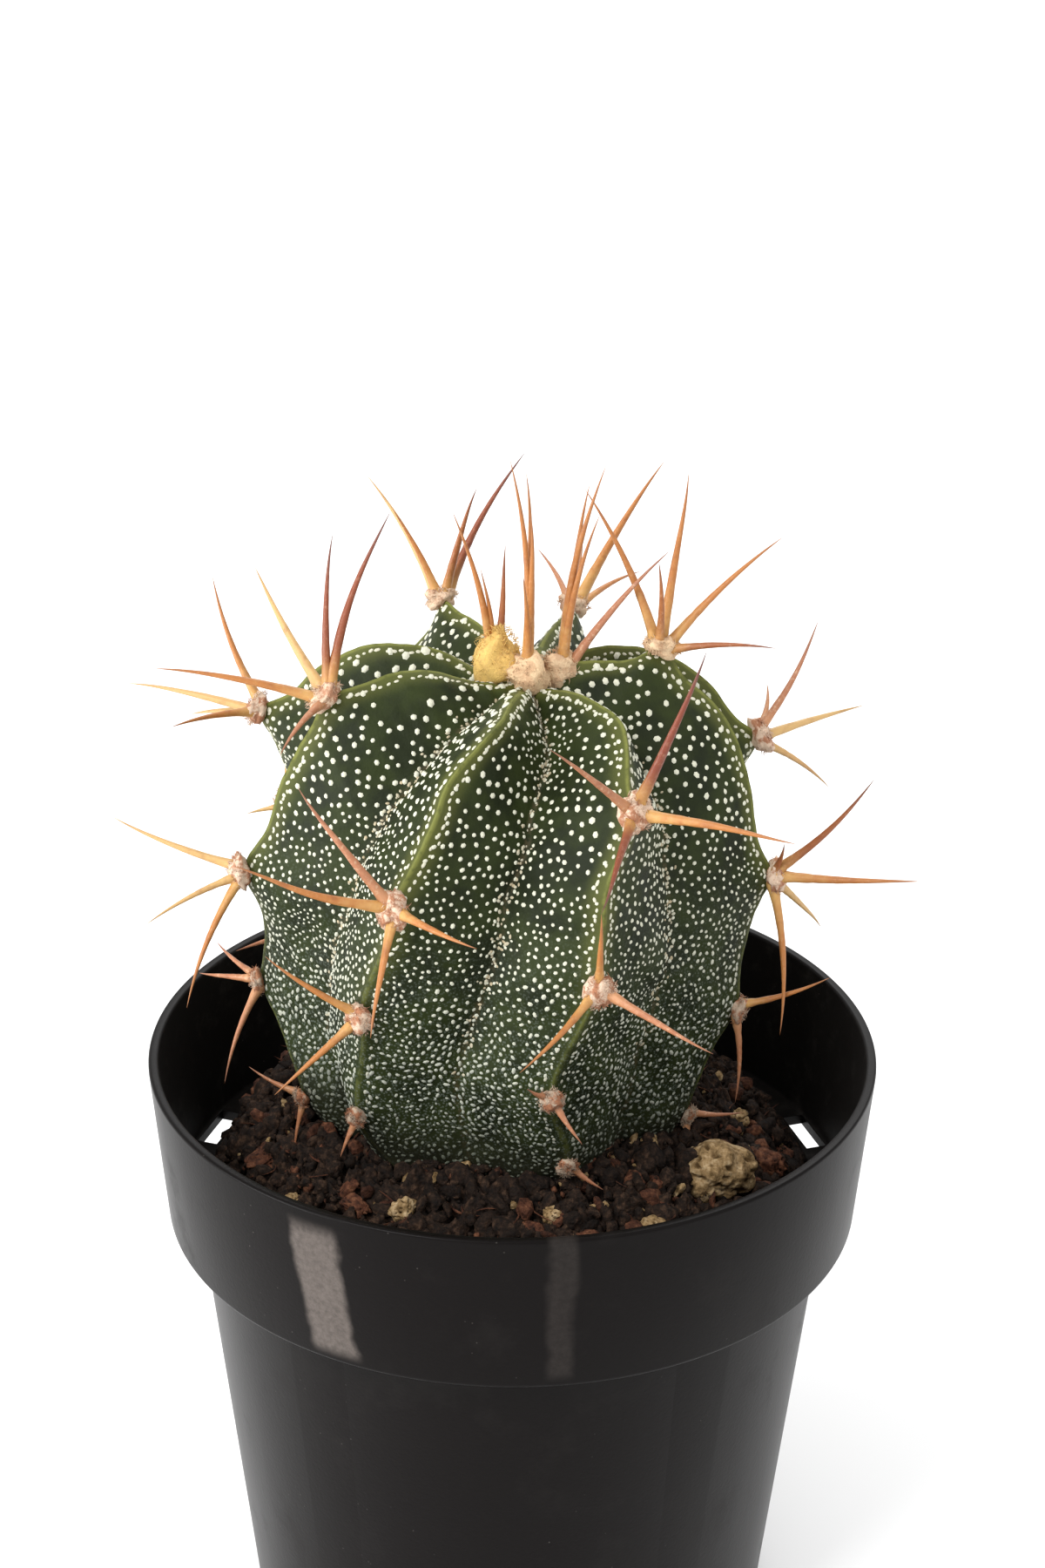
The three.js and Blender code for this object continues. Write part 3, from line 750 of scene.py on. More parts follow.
@dataclass
class Stem:
    """The ribbed stem's surface and its skin."""

    foot: tuple[float, float, float] = (-2.4, 7.4, 72.0)
    lean: float = 4.0
    crest_length: float = 82.0
    swell_width: float = 3.0
    arch_climb: float = 0.84
    arch_width: float = 0.1
    flank_bulge: float = 0.7
    heart_height: float = 20.0
    crest_round: float = 0.05
    buried_climb: float = -0.3
    buried_steps: int = 3
    columns_per_rib: int = 44
    rows: int = 210
    crest_outline: Outline = field(default_factory=lambda: Outline((
        (0, -9), (13, -8.5), (21.5, -5),
        (25, 0), (28, 10), (29.9, 20), (30.6, 30), (29.9, 38), (28, 45), (24.6, 51),
        (19, 54.8), (12.5, 55.8), (7, 55), (3, 53.6), (0, 53),
    )))
    furrow_outline: Outline = field(default_factory=lambda: Outline((
        (0, -9), (11.5, -8.5), (19, -5),
        (22, 0), (24, 10), (24.6, 19), (24.4, 27), (23.2, 34), (21, 40), (17.6, 45),
        (13, 48.8), (8.5, 50.8), (5, 51.9), (2.2, 52.8), (0, 53),
    )))

    def __post_init__(self) -> None:
        """Works out each crest's bearing and swell at close steps of climb."""
        self.climbs = np.linspace(self.buried_climb, 1.0, 521)
        self.bearings = np.array([self._bearing_line(rib) for rib in RIBS])
        self.swells = np.array([self._swell_line(rib) for rib in RIBS])
        turned = math.radians(self.lean)
        self.axis = np.array([math.sin(turned), 0.0, math.cos(turned)])

    def _bearing_line(self, rib: Rib) -> Array:
        """A crest's bearing at each climb, turning smoothly from areole to areole."""
        line = np.full(len(self.climbs), rib.areoles[0].bearing, float)
        for low, high in zip(rib.areoles, rib.areoles[1:]):
            share = smoothstep(self.climbs, low.climb, high.climb)
            inside = self.climbs > low.climb
            line[inside] = (low.bearing + (high.bearing - low.bearing) * share)[inside]
        return line

    def _swell_line(self, rib: Rib) -> Array:
        """How far a crest stands out at its arch and beside its areoles, at each climb."""
        line = rib.arch * np.exp(-(((self.climbs - self.arch_climb) / self.arch_width) ** 2))
        for areole in rib.areoles:
            distance = (self.climbs - areole.climb) * self.crest_length / self.swell_width
            line += areole.swell * np.exp(-distance * distance)
        return line

    def _share(self, climb: Array) -> Array:
        """How far along the outlines a climb is."""
        steps = self.crest_outline.steps
        return (self.buried_steps + climb * (steps - self.buried_steps)) / steps

    def place(self, radius: Array, height: Array, bearing: Array) -> Array:
        """Points beside the leaning axis."""
        angle = np.radians(bearing)
        x, y = radius * np.sin(angle), -radius * np.cos(angle)
        turned = math.radians(self.lean)
        across = x * math.cos(turned) + height * math.sin(turned)
        upward = height * math.cos(turned) - x * math.sin(turned)
        return np.stack([across, y, upward], axis=-1) + np.array(self.foot)

    def crest(self, rib: Array, climb: Array, out: float = 0.0) -> Array:
        """Points on the crests of the ribs numbered rib."""
        rib, climb = np.broadcast_arrays(np.asarray(rib), np.asarray(climb, float))
        place = (climb - self.climbs[0]) / (self.climbs[1] - self.climbs[0])
        low = np.clip(place.astype(int), 0, len(self.climbs) - 2)
        mix = place - low
        bearing = self.bearings[rib, low] * (1 - mix) + self.bearings[rib, low + 1] * mix
        swell = self.swells[rib, low] * (1 - mix) + self.swells[rib, low + 1] * mix
        reach = np.array([r.reach for r in RIBS])[rib]
        spread = 1 + (reach - 1) * np.sin(math.pi * np.clip(climb * 1.1, 0, 1))
        radius, height = np.moveaxis(self.crest_outline.offset(self._share(climb), swell + out), -1, 0)
        return self.place(np.maximum(radius * spread, 0), height, bearing)

    def furrow(self, rib: Array, climb: Array) -> Array:
        """Points in the furrow that follows each rib numbered rib."""
        rib, climb = np.broadcast_arrays(np.asarray(rib), np.asarray(climb, float))
        place = (climb - self.climbs[0]) / (self.climbs[1] - self.climbs[0])
        low = np.clip(np.round(place).astype(int), 0, len(self.climbs) - 1)
        start = self.bearings[rib, low]
        turn = (self.bearings[(rib + 1) % len(RIBS), low] - start) % 360
        radius, height = np.moveaxis(self.furrow_outline.at(self._share(climb)), -1, 0)
        return self.place(np.maximum(radius, 0), height, start + turn / 2)

    def surface(self, round_place: Array, climb: Array) -> tuple[Array, Array]:
        """Points on the skin.

        Args:
            round_place: the rib number, plus the share of the way to the next crest.
            climb: the climb of each point.

        Returns:
            The points, and each point's share of the way from its crest (0) to its furrow (1).
        """
        round_place, climb = np.broadcast_arrays(round_place, climb)
        rib = np.floor(round_place).astype(int) % len(RIBS)
        part = round_place - np.floor(round_place)
        down = 1 - np.abs(1 - 2 * part)
        near = np.where(part < 0.5, rib, (rib + 1) % len(RIBS))
        crest = self.crest(near, climb)
        furrow = self.furrow(rib, climb)
        soft = self.crest_round
        eased = (np.sqrt(down**2 + soft**2) - soft) / (math.sqrt(1 + soft**2) - soft)
        points = crest + (furrow - crest) * eased[..., None]
        heart = np.array(self.foot) + self.axis * self.heart_height
        points += unit(points - heart) * (self.flank_bulge * np.sin(math.pi * eased))[..., None]
        return points, down

    def folded(self, spot: Array, climb: Array) -> tuple[Array, Array]:
        """Points on the skin with its slight folds, and each one's share of the way to its furrow."""
        points, down = self.surface(spot, climb)
        away = unit(points - (np.array(self.foot) + self.axis * self.heart_height))
        uneven = 0.22 * Ripple(11, 9.0)(points) + 0.07 * Ripple(12, 2.4)(points)
        uneven = uneven * smoothstep(climb, 0.99, 0.8) * np.minimum(1, 0.35 + down)
        return points + away * uneven[..., None], down

    def skin(self) -> bpy.types.Object:
        """The fine closed skin, with slight folds across the flanks."""
        columns = len(RIBS) * self.columns_per_rib
        climb = np.linspace(self.buried_climb + 0.01, 0.996, self.rows)[:, None]
        spot = np.arange(columns)[None, :] / self.columns_per_rib
        points, down = self.folded(spot, climb)
        flat = points.reshape(-1, 3)
        start = np.arange(columns) // self.columns_per_rib * self.columns_per_rib
        following = (start + self.columns_per_rib) % columns
        middle = start + self.columns_per_rib // 2
        crest_gap = np.linalg.norm(points - points[:, start], axis=-1)
        next_gap = np.linalg.norm(points - points[:, following], axis=-1)
        furrow_gap = np.linalg.norm(points - points[:, middle], axis=-1)
        draft = MeshDraft("cactus_stem_skin")
        ends = np.array([self.place(0, -9, 0), self.place(0, 53, 0)])
        last = (self.rows - 1) * columns
        around = np.arange(columns)
        after = (around + 1) % columns
        total = self.rows * columns
        bottom = np.stack([np.full(columns, total), after, around], axis=-1)
        top = np.stack([last + around, last + after, np.full(columns, total + 1)], axis=-1)
        gaps = np.minimum(crest_gap, next_gap).ravel()
        climbs = np.broadcast_to(climb, down.shape).ravel()
        draft.add(
            np.concatenate([flat, ends]),
            grid_faces(self.rows, columns, True),
            ridge=np.append(gaps, [0, 0]),
            furrow=np.append(furrow_gap.ravel(), [0, 0]),
            climb=np.append(climbs, [-0.3, 1.0]),
        )
        draft.faces.extend([bottom, top])
        return draft.build(StemSkin().build())


# ---- Flecks -------------------------------------------------------------------------------------


@dataclass
class SkinPlaces:
    """Places on the skin, each with its directions: round the stem, up the rib and outward."""

    point: Array
    round_way: Array
    up_way: Array
    normal: Array
    down: Array

    @classmethod
    def on(cls, stem: Stem, spot: Array, climb: Array) -> "SkinPlaces":
        """Finds the places.

        Args:
            stem: the stem that they are on.
            spot: each place's rib number, plus the share of the way to the next crest.
            climb: each place's climb.

        Returns:
            The places.
        """
        step = np.where(spot % 1 < 0.5, SPOT_STEP, -SPOT_STEP)
        here, down = stem.folded(spot, climb)
        beside = (stem.folded(spot + step, climb)[0] - here) * np.sign(step)[:, None]
        up_way = unit(stem.folded(spot, climb + CLIMB_STEP)[0] - here)
        normal = unit(np.cross(beside, up_way))
        return cls(here, unit(np.cross(up_way, normal)), up_way, normal, down)


@dataclass
class Flecks:
    """The white tufts on the skin: scattered on the flanks, in rows by the crests and furrows."""

    stem: Stem
    seed: int = 5
    tries: int = 110000
    ring: int = 6
    raise_share: float = 0.3
    low_gap: float = 0.67
    gap_growth: float = 0.88
    flank_gaps: tuple[float, ...] = (1.0, 0.72, 0.95, 1.0, 1.0, 1.0, 1.0, 1.0)

    def _gap(self, spot: Array, points: Array, climb: Array, down: Array) -> Array:
        """How far apart the flank's flecks stand."""
        gap = self.low_gap + self.gap_growth * smoothstep(climb, 0.14, 0.78)
        gap = gap * (1 - 0.24 * smoothstep(down, 0.45, 0.95) * smoothstep(climb, 0.2, 0.5))
        flank = np.array(self.flank_gaps)[np.floor(spot).astype(int) % len(RIBS)]
        gap = gap * (1 + (flank - 1) * smoothstep(climb, 0.4, 0.75))
        return gap * (1 + 0.1 * Ripple(31, 11.0)(points))

    def _spread(self) -> tuple[Array, Array, Array]:
        """Scatters flank flecks no closer than their gap.

        Returns:
            Their spots round the stem, their climbs and their gaps.
        """
        random = np.random.default_rng(self.seed)
        spot = random.uniform(0, len(RIBS), self.tries)
        climb = random.uniform(-0.03, 0.985, self.tries)
        likely = np.interp(climb, [0, 0.4, 0.7, 0.9, 1], [1, 0.9, 0.7, 0.45, 0.1])
        keep = random.uniform(size=self.tries) < likely
        spot, climb = spot[keep], climb[keep]
        points, down = self.stem.surface(spot, climb)
        gap = self._gap(spot, points, climb, down)
        young = smoothstep(climb, 0.5, 0.72)
        patch = Ripple(36, 10.0)(points)
        bare = (young > 0.3) & (patch > 1.15) & (down < 0.6)
        near_rib = np.floor(spot + 0.5).astype(int) % len(RIBS)
        width = np.linalg.norm(points - self.stem.crest(near_rib, climb), axis=-1)
        free = ~bare & (width > 1.0)
        spot, climb, gap, points = spot[free], climb[free], gap[free], points[free]
        tree = KDTree(len(points))
        for index, point in enumerate(points):
            tree.insert(point, index)
        tree.balance()
        alive = np.ones(len(points), bool)
        for index in range(len(points)):
            if alive[index]:
                near = [j for _, j, _ in tree.find_range(points[index], float(gap[index]))]
                alive[near] = False
                alive[index] = True
        return spot[alive], climb[alive], gap[alive]

    def _tufts(
        self,
        draft: MeshDraft,
        at: SkinPlaces,
        long: Array,
        wide: Array,
        turn: Array,
        **numbers: "Array | float",
    ) -> None:
        """Adds one flat tuft at each place.

        Args:
            draft: what they are added to.
            at: their places.
            long: their half lengths.
            wide: their half widths.
            turn: how far their length is turned from the way up, in radians.
            numbers: the fields of their points.
        """
        along = at.up_way * np.cos(turn)[:, None] + at.round_way * np.sin(turn)[:, None]
        across = np.cross(at.normal, along)
        angles = np.arange(self.ring) * (2 * math.pi / self.ring)
        reach = np.cos(angles)[None, :, None] * (along * long[:, None])[:, None, :]
        reach = reach + np.sin(angles)[None, :, None] * (across * wide[:, None])[:, None, :]
        rise = (at.normal * (wide * self.raise_share + 0.02)[:, None])[:, None, :]
        here = at.point[:, None, :]
        points = np.concatenate([
            here + reach - 0.5 * rise, here + 0.66 * reach + 0.8 * rise, here + rise,
        ], axis=1)
        size = 2 * self.ring + 1
        around = np.arange(self.ring)
        after = (around + 1) % self.ring
        walls = np.stack([around, self.ring + around, self.ring + after, after], axis=-1)
        caps = np.stack([self.ring + after, self.ring + around, np.full(self.ring, size - 1)], axis=-1)
        offsets = (np.arange(len(at.point)) * size)[:, None, None]
        spread = {
            key: np.repeat(np.broadcast_to(value, len(at.point)), size) for key, value in numbers.items()
        }
        start = draft.count
        draft.add(points.reshape(-1, 3), (walls[None] + offsets).reshape(-1, 4), **spread)
        draft.faces.append((caps[None] + offsets).reshape(-1, 3) + start)

    def build(self) -> list[bpy.types.Object]:
        """Makes the flank flecks, and the rows along crests and furrows."""
        felt = FleckFelt().build()
        random = np.random.default_rng(self.seed + 1)
        spot, climb, gap = self._spread()
        at = SkinPlaces.on(self.stem, spot, climb)
        aged = smoothstep(climb, 0.36, 0.04)
        wide = gap * random.uniform(0.28, 0.36, len(gap)) * (1 + 0.12 * aged)
        long = wide * random.uniform(1.0, 1.3 + 0.75 * aged, len(gap))
        turn = Ripple(41, 12.0)(at.point) * 2.4 + random.normal(0, 0.3, len(gap))
        # Painted shade: flecks dim towards the soil line.
        sunk = smoothstep(climb, 0.09, 0.0)
        flank = MeshDraft("stem_flecks")
        age = aged * random.uniform(0.6, 1, len(gap))
        self._tufts(flank, at, long, wide, turn, age=age, stain=0.0, sunk=sunk)
        rows = MeshDraft("crest_and_furrow_flecks")
        for rib in range(len(RIBS)):
            self._crest_rows(rows, rib, random)
            self._furrow_row(rows, rib, random)
        return [flank.build(felt), rows.build(felt)]

    def _crest_rows(self, draft: MeshDraft, rib: int, random: np.random.Generator) -> None:
        """Adds the two rows of long dots that line one crest."""
        for side in (-1, 1):
            climb = np.cumsum(random.uniform(0.0105, 0.0155, 88)) + 0.02
            climb = climb[climb < 0.975]
            offset = random.normal(0.6, 0.06, len(climb))
            step = 0.02
            reach = self.stem.surface(np.full(len(climb), rib + side * step) % len(RIBS), climb)[0]
            flat = np.linalg.norm(reach - self.stem.crest(rib, climb), axis=-1)
            spot = (rib + side * step * offset / np.maximum(flat, 0.05)) % len(RIBS)
            at = SkinPlaces.on(self.stem, spot, climb)
            wide = random.uniform(0.19, 0.27, len(climb))
            long = wide * random.uniform(1.3, 2.0, len(climb))
            turn = random.normal(0, 0.2, len(climb))
            age = smoothstep(climb, 0.4, 0.05) * 0.7
            # Painted shade: crest flecks dim towards the soil line.
            sunk = smoothstep(climb, 0.09, 0.0)
            self._tufts(draft, at, long, wide, turn, age=age, stain=0.16, sunk=sunk)

    def _furrow_row(self, draft: MeshDraft, rib: int, random: np.random.Generator) -> None:
        """Adds the small stained tufts that crowd along one furrow."""
        climb = random.uniform(0.12, 0.93, 210)
        spot = (rib + 0.5 + random.normal(0, 0.02, len(climb))) % len(RIBS)
        at = SkinPlaces.on(self.stem, spot, climb)
        wide = random.uniform(0.13, 0.26, len(climb))
        long = wide * random.uniform(1.0, 1.8, len(climb))
        turn = random.uniform(0, math.pi, len(climb))
        stain = random.uniform(0.2, 0.9, len(climb))
        self._tufts(draft, at, long, wide, turn, age=0.3, stain=stain, sunk=0.0)


# ---- Spine clusters -----------------------------------------------------------------------------


@dataclass(frozen=True)
class AreoleFrame:
    """Where an areole sits, with its outward, upward and sideways directions."""

    root: Array
    out: Array
    up: Array
    side: Array

    def direction(self, clock: float, tilt: float) -> Array:
        """The direction at a clock angle and a tilt from the normal, in degrees."""
        turn, lean = math.radians(clock), math.radians(tilt)
        flat = self.up * math.cos(turn) + self.side * math.sin(turn)
        return self.out * math.cos(lean) + flat * math.sin(lean)


@dataclass(frozen=True)
class ClusterLook:
    """How old a cluster looks: its shares of new yellow wool, of ageing and of rusty spots."""

    new: float
    aged: float
    rusty: float


@dataclass(frozen=True)
class CrownTuft:
    """A tuft at the growing point: its place, its half sizes, how yellow it is, and its spines."""

    name: str
    x: float
    y: float
    size: tuple[float, float, float]
    new: float
    spines: tuple[Spine, ...]


@dataclass
class SpineClusters:
    """The areoles: each one's spines and its cushion of wool."""

    stem: Stem
    root_radius: float = 0.7
    bow: float = 11.0
    spread: float = 0.5
    full_length: float = 16.0
    sides: int = 10
    steps: int = 26
    pad_size: tuple[float, float, float] = (1.9, 2.2, 1.25)
    old_pad_share: float = 0.6
    old_pad_climb: float = 0.3
    crown_height: float = 54.2
    hair_count: int = 150
    horn: bpy.types.Material | None = None
    felt: bpy.types.Material | None = None
    crown_tufts: tuple[CrownTuft, ...] = (
        CrownTuft("crown_tuft_left", -3.7, 1.4, (2.5, 2.3, 4.4), 1.0, (
            Spine(-71, 20, 20.5, AMBER), Spine(3, 12, 15.5, BROWN), Spine(-60, 14, 13, AMBER),
        )),
        CrownTuft("crown_tuft_middle", 0.2, -0.6, (2.7, 2.4, 2.6), 0.35, (
            Spine(-90, 9, 28, AMBER), Spine(-49, 8, 25.5, AMBER), Spine(-134, 7, 22.5, AMBER),
            Spine(-150, 14, 15, AMBER),
        )),
        CrownTuft("crown_tuft_right", 3.8, 0.9, (2.1, 2.0, 2.8), 0.3, (
            Spine(79, 7, 27.5, AMBER), Spine(34, 9, 24, AMBER), Spine(114, 9, 22, AMBER),
            Spine(76, 38, 20.5, ROSE),
        )),
    )

    def frame_at(self, rib: int, climb: float) -> AreoleFrame:
        """The frame of an areole on a crest."""
        root = self.stem.crest(rib, climb)
        small = 0.005
        up = unit(self.stem.crest(rib, climb + small) - self.stem.crest(rib, climb - small))
        out = self.stem.crest(rib, climb, 1.0) - root
        out = unit(out - up * float(out @ up))
        return AreoleFrame(root, out, up, np.cross(up, out))

    def crown_frame(self, x: float, y: float) -> AreoleFrame:
        """The frame of a tuft at the growing point, square to the stem's axis."""
        bearing = math.degrees(math.atan2(x, -y))
        root = self.stem.place(math.hypot(x, y), self.crown_height, bearing)
        up = np.array([0.0, 1.0, 0.0])
        return AreoleFrame(root, self.stem.axis, up, np.cross(up, self.stem.axis))

    @staticmethod
    def tube(
        path: Array, radii: Array, flatten: float, plane: Array, sides: int
    ) -> tuple[Array, Array]:
        """A tapered tube along a path that lies in a plane.

        Args:
            path: the points of its middle line.
            radii: its radius at each of them.
            flatten: its thickness out of the plane's normal, as a share of its width.
            plane: the normal of the plane.
            sides: how many points go round it.

        Returns:
            Its points, and its faces without the ends.
        """
        along = unit(np.gradient(path, axis=0))
        across = np.broadcast_to(plane, along.shape)
        over = np.cross(across, along)
        angle = np.arange(sides) * (2 * math.pi / sides)
        ring = across[:, None] * np.cos(angle)[None, :, None]
        ring = ring + flatten * over[:, None] * np.sin(angle)[None, :, None]
        points = (path[:, None] + ring * radii[:, None, None]).reshape(-1, 3)
        return points, grid_faces(len(path), sides, True)

    def _spine(
        self, draft: MeshDraft, at: AreoleFrame, spine: Spine, aged: float, random: np.random.Generator
    ) -> None:
        """Adds one tapered spine that bows out towards its tip.

        Args:
            draft: what it is added to.
            at: the frame of its areole.
            spine: the spine.
            aged: the share of ageing, which makes it knobbly.
            random: where its unevenness comes from.
        """
        root = at.root + at.direction(spine.clock, 90) * self.spread
        tip = at.root + at.direction(spine.clock, spine.tilt) * spine.length
        elbow = root + at.direction(spine.clock, spine.tilt - self.bow) * (spine.length / 2)
        t = np.linspace(0, 1, self.steps) ** 0.9
        path = ((1 - t) ** 2)[:, None] * root + (2 * t * (1 - t))[:, None] * elbow
        path = path + (t**2)[:, None] * tip
        plane = unit(np.cross(tip - elbow, elbow - root))
        sway = random.normal(0, 0.012) * spine.length * np.sin(t * math.pi * 1.6)
        path = path + plane * (sway * t)[:, None]
        stout = self.root_radius * min(1.25, 0.5 + 0.45 * spine.length / self.full_length)
        radii = stout * (1 - t) ** 0.85 + 0.012
        knobs = random.normal(0, 0.04 + 0.06 * aged, len(t)) * (1 - t)
        radii *= 1 + 0.3 * np.exp(-((t * spine.length / 1.9) ** 2)) + knobs
        points, faces = self.tube(path, radii, 0.86, plane, self.sides)
        start = draft.count
        red, pale, rose = (share * random.uniform(0.8, 1.15) for share in spine.tone.value)
        along = np.repeat(t, self.sides)
        draft.add(points, faces, along=along, red=red, pale=pale, rose=rose)
        around = np.arange(self.sides)
        draft.faces.append(around[None, ::-1] + start)
        draft.faces.append(around[None, :] + start + (self.steps - 1) * self.sides)

    def _wool(
        self,
        draft: MeshDraft,
        at: AreoleFrame,
        size: Array,
        look: ClusterLook,
        random: np.random.Generator,
    ) -> None:
        """Adds one felted cushion with fine curly hairs standing out of it.

        Args:
            draft: what it is added to.
            at: the frame of its areole.
            size: its half sizes to the side, upward and outward.
            look: how old it looks.
            random: where its unevenness comes from.
        """
        rings, sides = 15, 22
        polar = np.linspace(0.04, math.pi - 0.04, rings)[:, None]
        turn = (np.arange(sides) * (2 * math.pi / sides))[None, :]
        ball = np.stack([
            np.sin(polar) * np.cos(turn), np.sin(polar) * np.sin(turn), np.cos(polar) + 0 * turn,
        ], axis=-1).reshape(-1, 3)
        seed = int(random.integers(1, 9999))
        lumps = 1 + 0.12 * Ripple(seed, 1.3)(ball) + 0.07 * Ripple(seed + 1, 0.5)(ball)
        axes = np.stack([at.side, at.up, at.out])
        centre = at.root + at.out * size[2] * 0.3
        numbers = {"new": look.new, "aged": look.aged, "rusty": look.rusty}
        start = draft.count
        points = centre + (ball * lumps[:, None] * size) @ axes
        draft.add(points, grid_faces(rings, sides, True)[:, ::-1], **numbers)
        around = np.arange(sides)
        draft.faces.append(around[None, :] + start)
        draft.faces.append(around[None, ::-1] + start + (rings - 1) * sides)
        for _ in range(int(self.hair_count * (1 + look.new))):
            rise = math.acos(random.uniform(-0.15, 1))
            way = random.uniform(0, 2 * math.pi)
            spot = np.array([
                math.sin(rise) * math.cos(way), math.sin(rise) * math.sin(way), math.cos(rise),
            ])
            base = centre + (spot * size * 0.97) @ axes
            normal = unit((spot / size) @ axes)
            bend = unit(np.cross(normal, random.normal(size=3)))
            length = random.uniform(0.35, 0.95) * (0.5 + 0.4 * size[1] / 2.2 + 0.5 * look.new)
            t = np.linspace(0, 1, 4)[:, None]
            path = base + normal * (t * length * 0.6) + bend * (t * t * length * 0.8)
            radii = np.array([0.055, 0.05, 0.04, 0.012])
            points, faces = self.tube(path, radii, 1.0, unit(np.cross(normal, bend)), 3)
            start = draft.count
            draft.add(points, faces, **numbers)
            draft.faces.append(np.array([[2, 1, 0]]) + start)
            draft.faces.append(np.array([[0, 1, 2]]) + start + 9)

    def _cluster(
        self,
        name: str,
        at: AreoleFrame,
        size: Array,
        spines: Iterable[Spine],
        look: ClusterLook,
    ) -> None:
        """Builds one areole's spines and wool, in place of its CAD node.

        Args:
            name: the CAD node.
            at: the frame of the areole.
            size: the half sizes of its wool.
            spines: its spines.
            look: how old it looks.
        """
        random = np.random.default_rng(sum(name.encode()))
        horn = MeshDraft(f"{name}_horn")
        for spine in spines:
            self._spine(horn, at, spine, look.aged, random)
        settle(horn.build(self.horn), "spine_cluster", name)
        wool = MeshDraft(f"{name}_wool")
        self._wool(wool, at, size, look, random)
        settle(wool.build(self.felt), "spine_cluster", name)

    def build(self) -> None:
        """Builds every areole on the ribs and the tufts at the crown."""
        self.horn, self.felt = SpineHorn().build(), AreoleWool().build()
        for index, rib in enumerate(RIBS):
            bearing = (areole for areole in rib.areoles if areole.spines)
            for number, areole in enumerate(bearing, 1):
                climb = np.array(areole.climb)
                young = float(smoothstep(climb, 0.5, 0.7))
                old = float(smoothstep(climb, 0.3, 0.05))
                look = ClusterLook(young * 0.3, old * 0.8, 0.9 - 0.5 * young)
                growth = float(smoothstep(climb, 0.0, self.old_pad_climb))
                share = self.old_pad_share + (1 - self.old_pad_share) * growth
                size = np.array(self.pad_size) * share
                name = f"{rib.name}_spines_{number}"
                self._cluster(name, self.frame_at(index, areole.climb), size, areole.spines, look)
        for tuft in self.crown_tufts:
            look = ClusterLook(tuft.new, 0.0, 0.5 - 0.4 * tuft.new)
            at = self.crown_frame(tuft.x, tuft.y)
            self._cluster(tuft.name, at, np.array(tuft.size), tuft.spines, look)


# ---- Pot ----------------------------------------------------------------------------------------


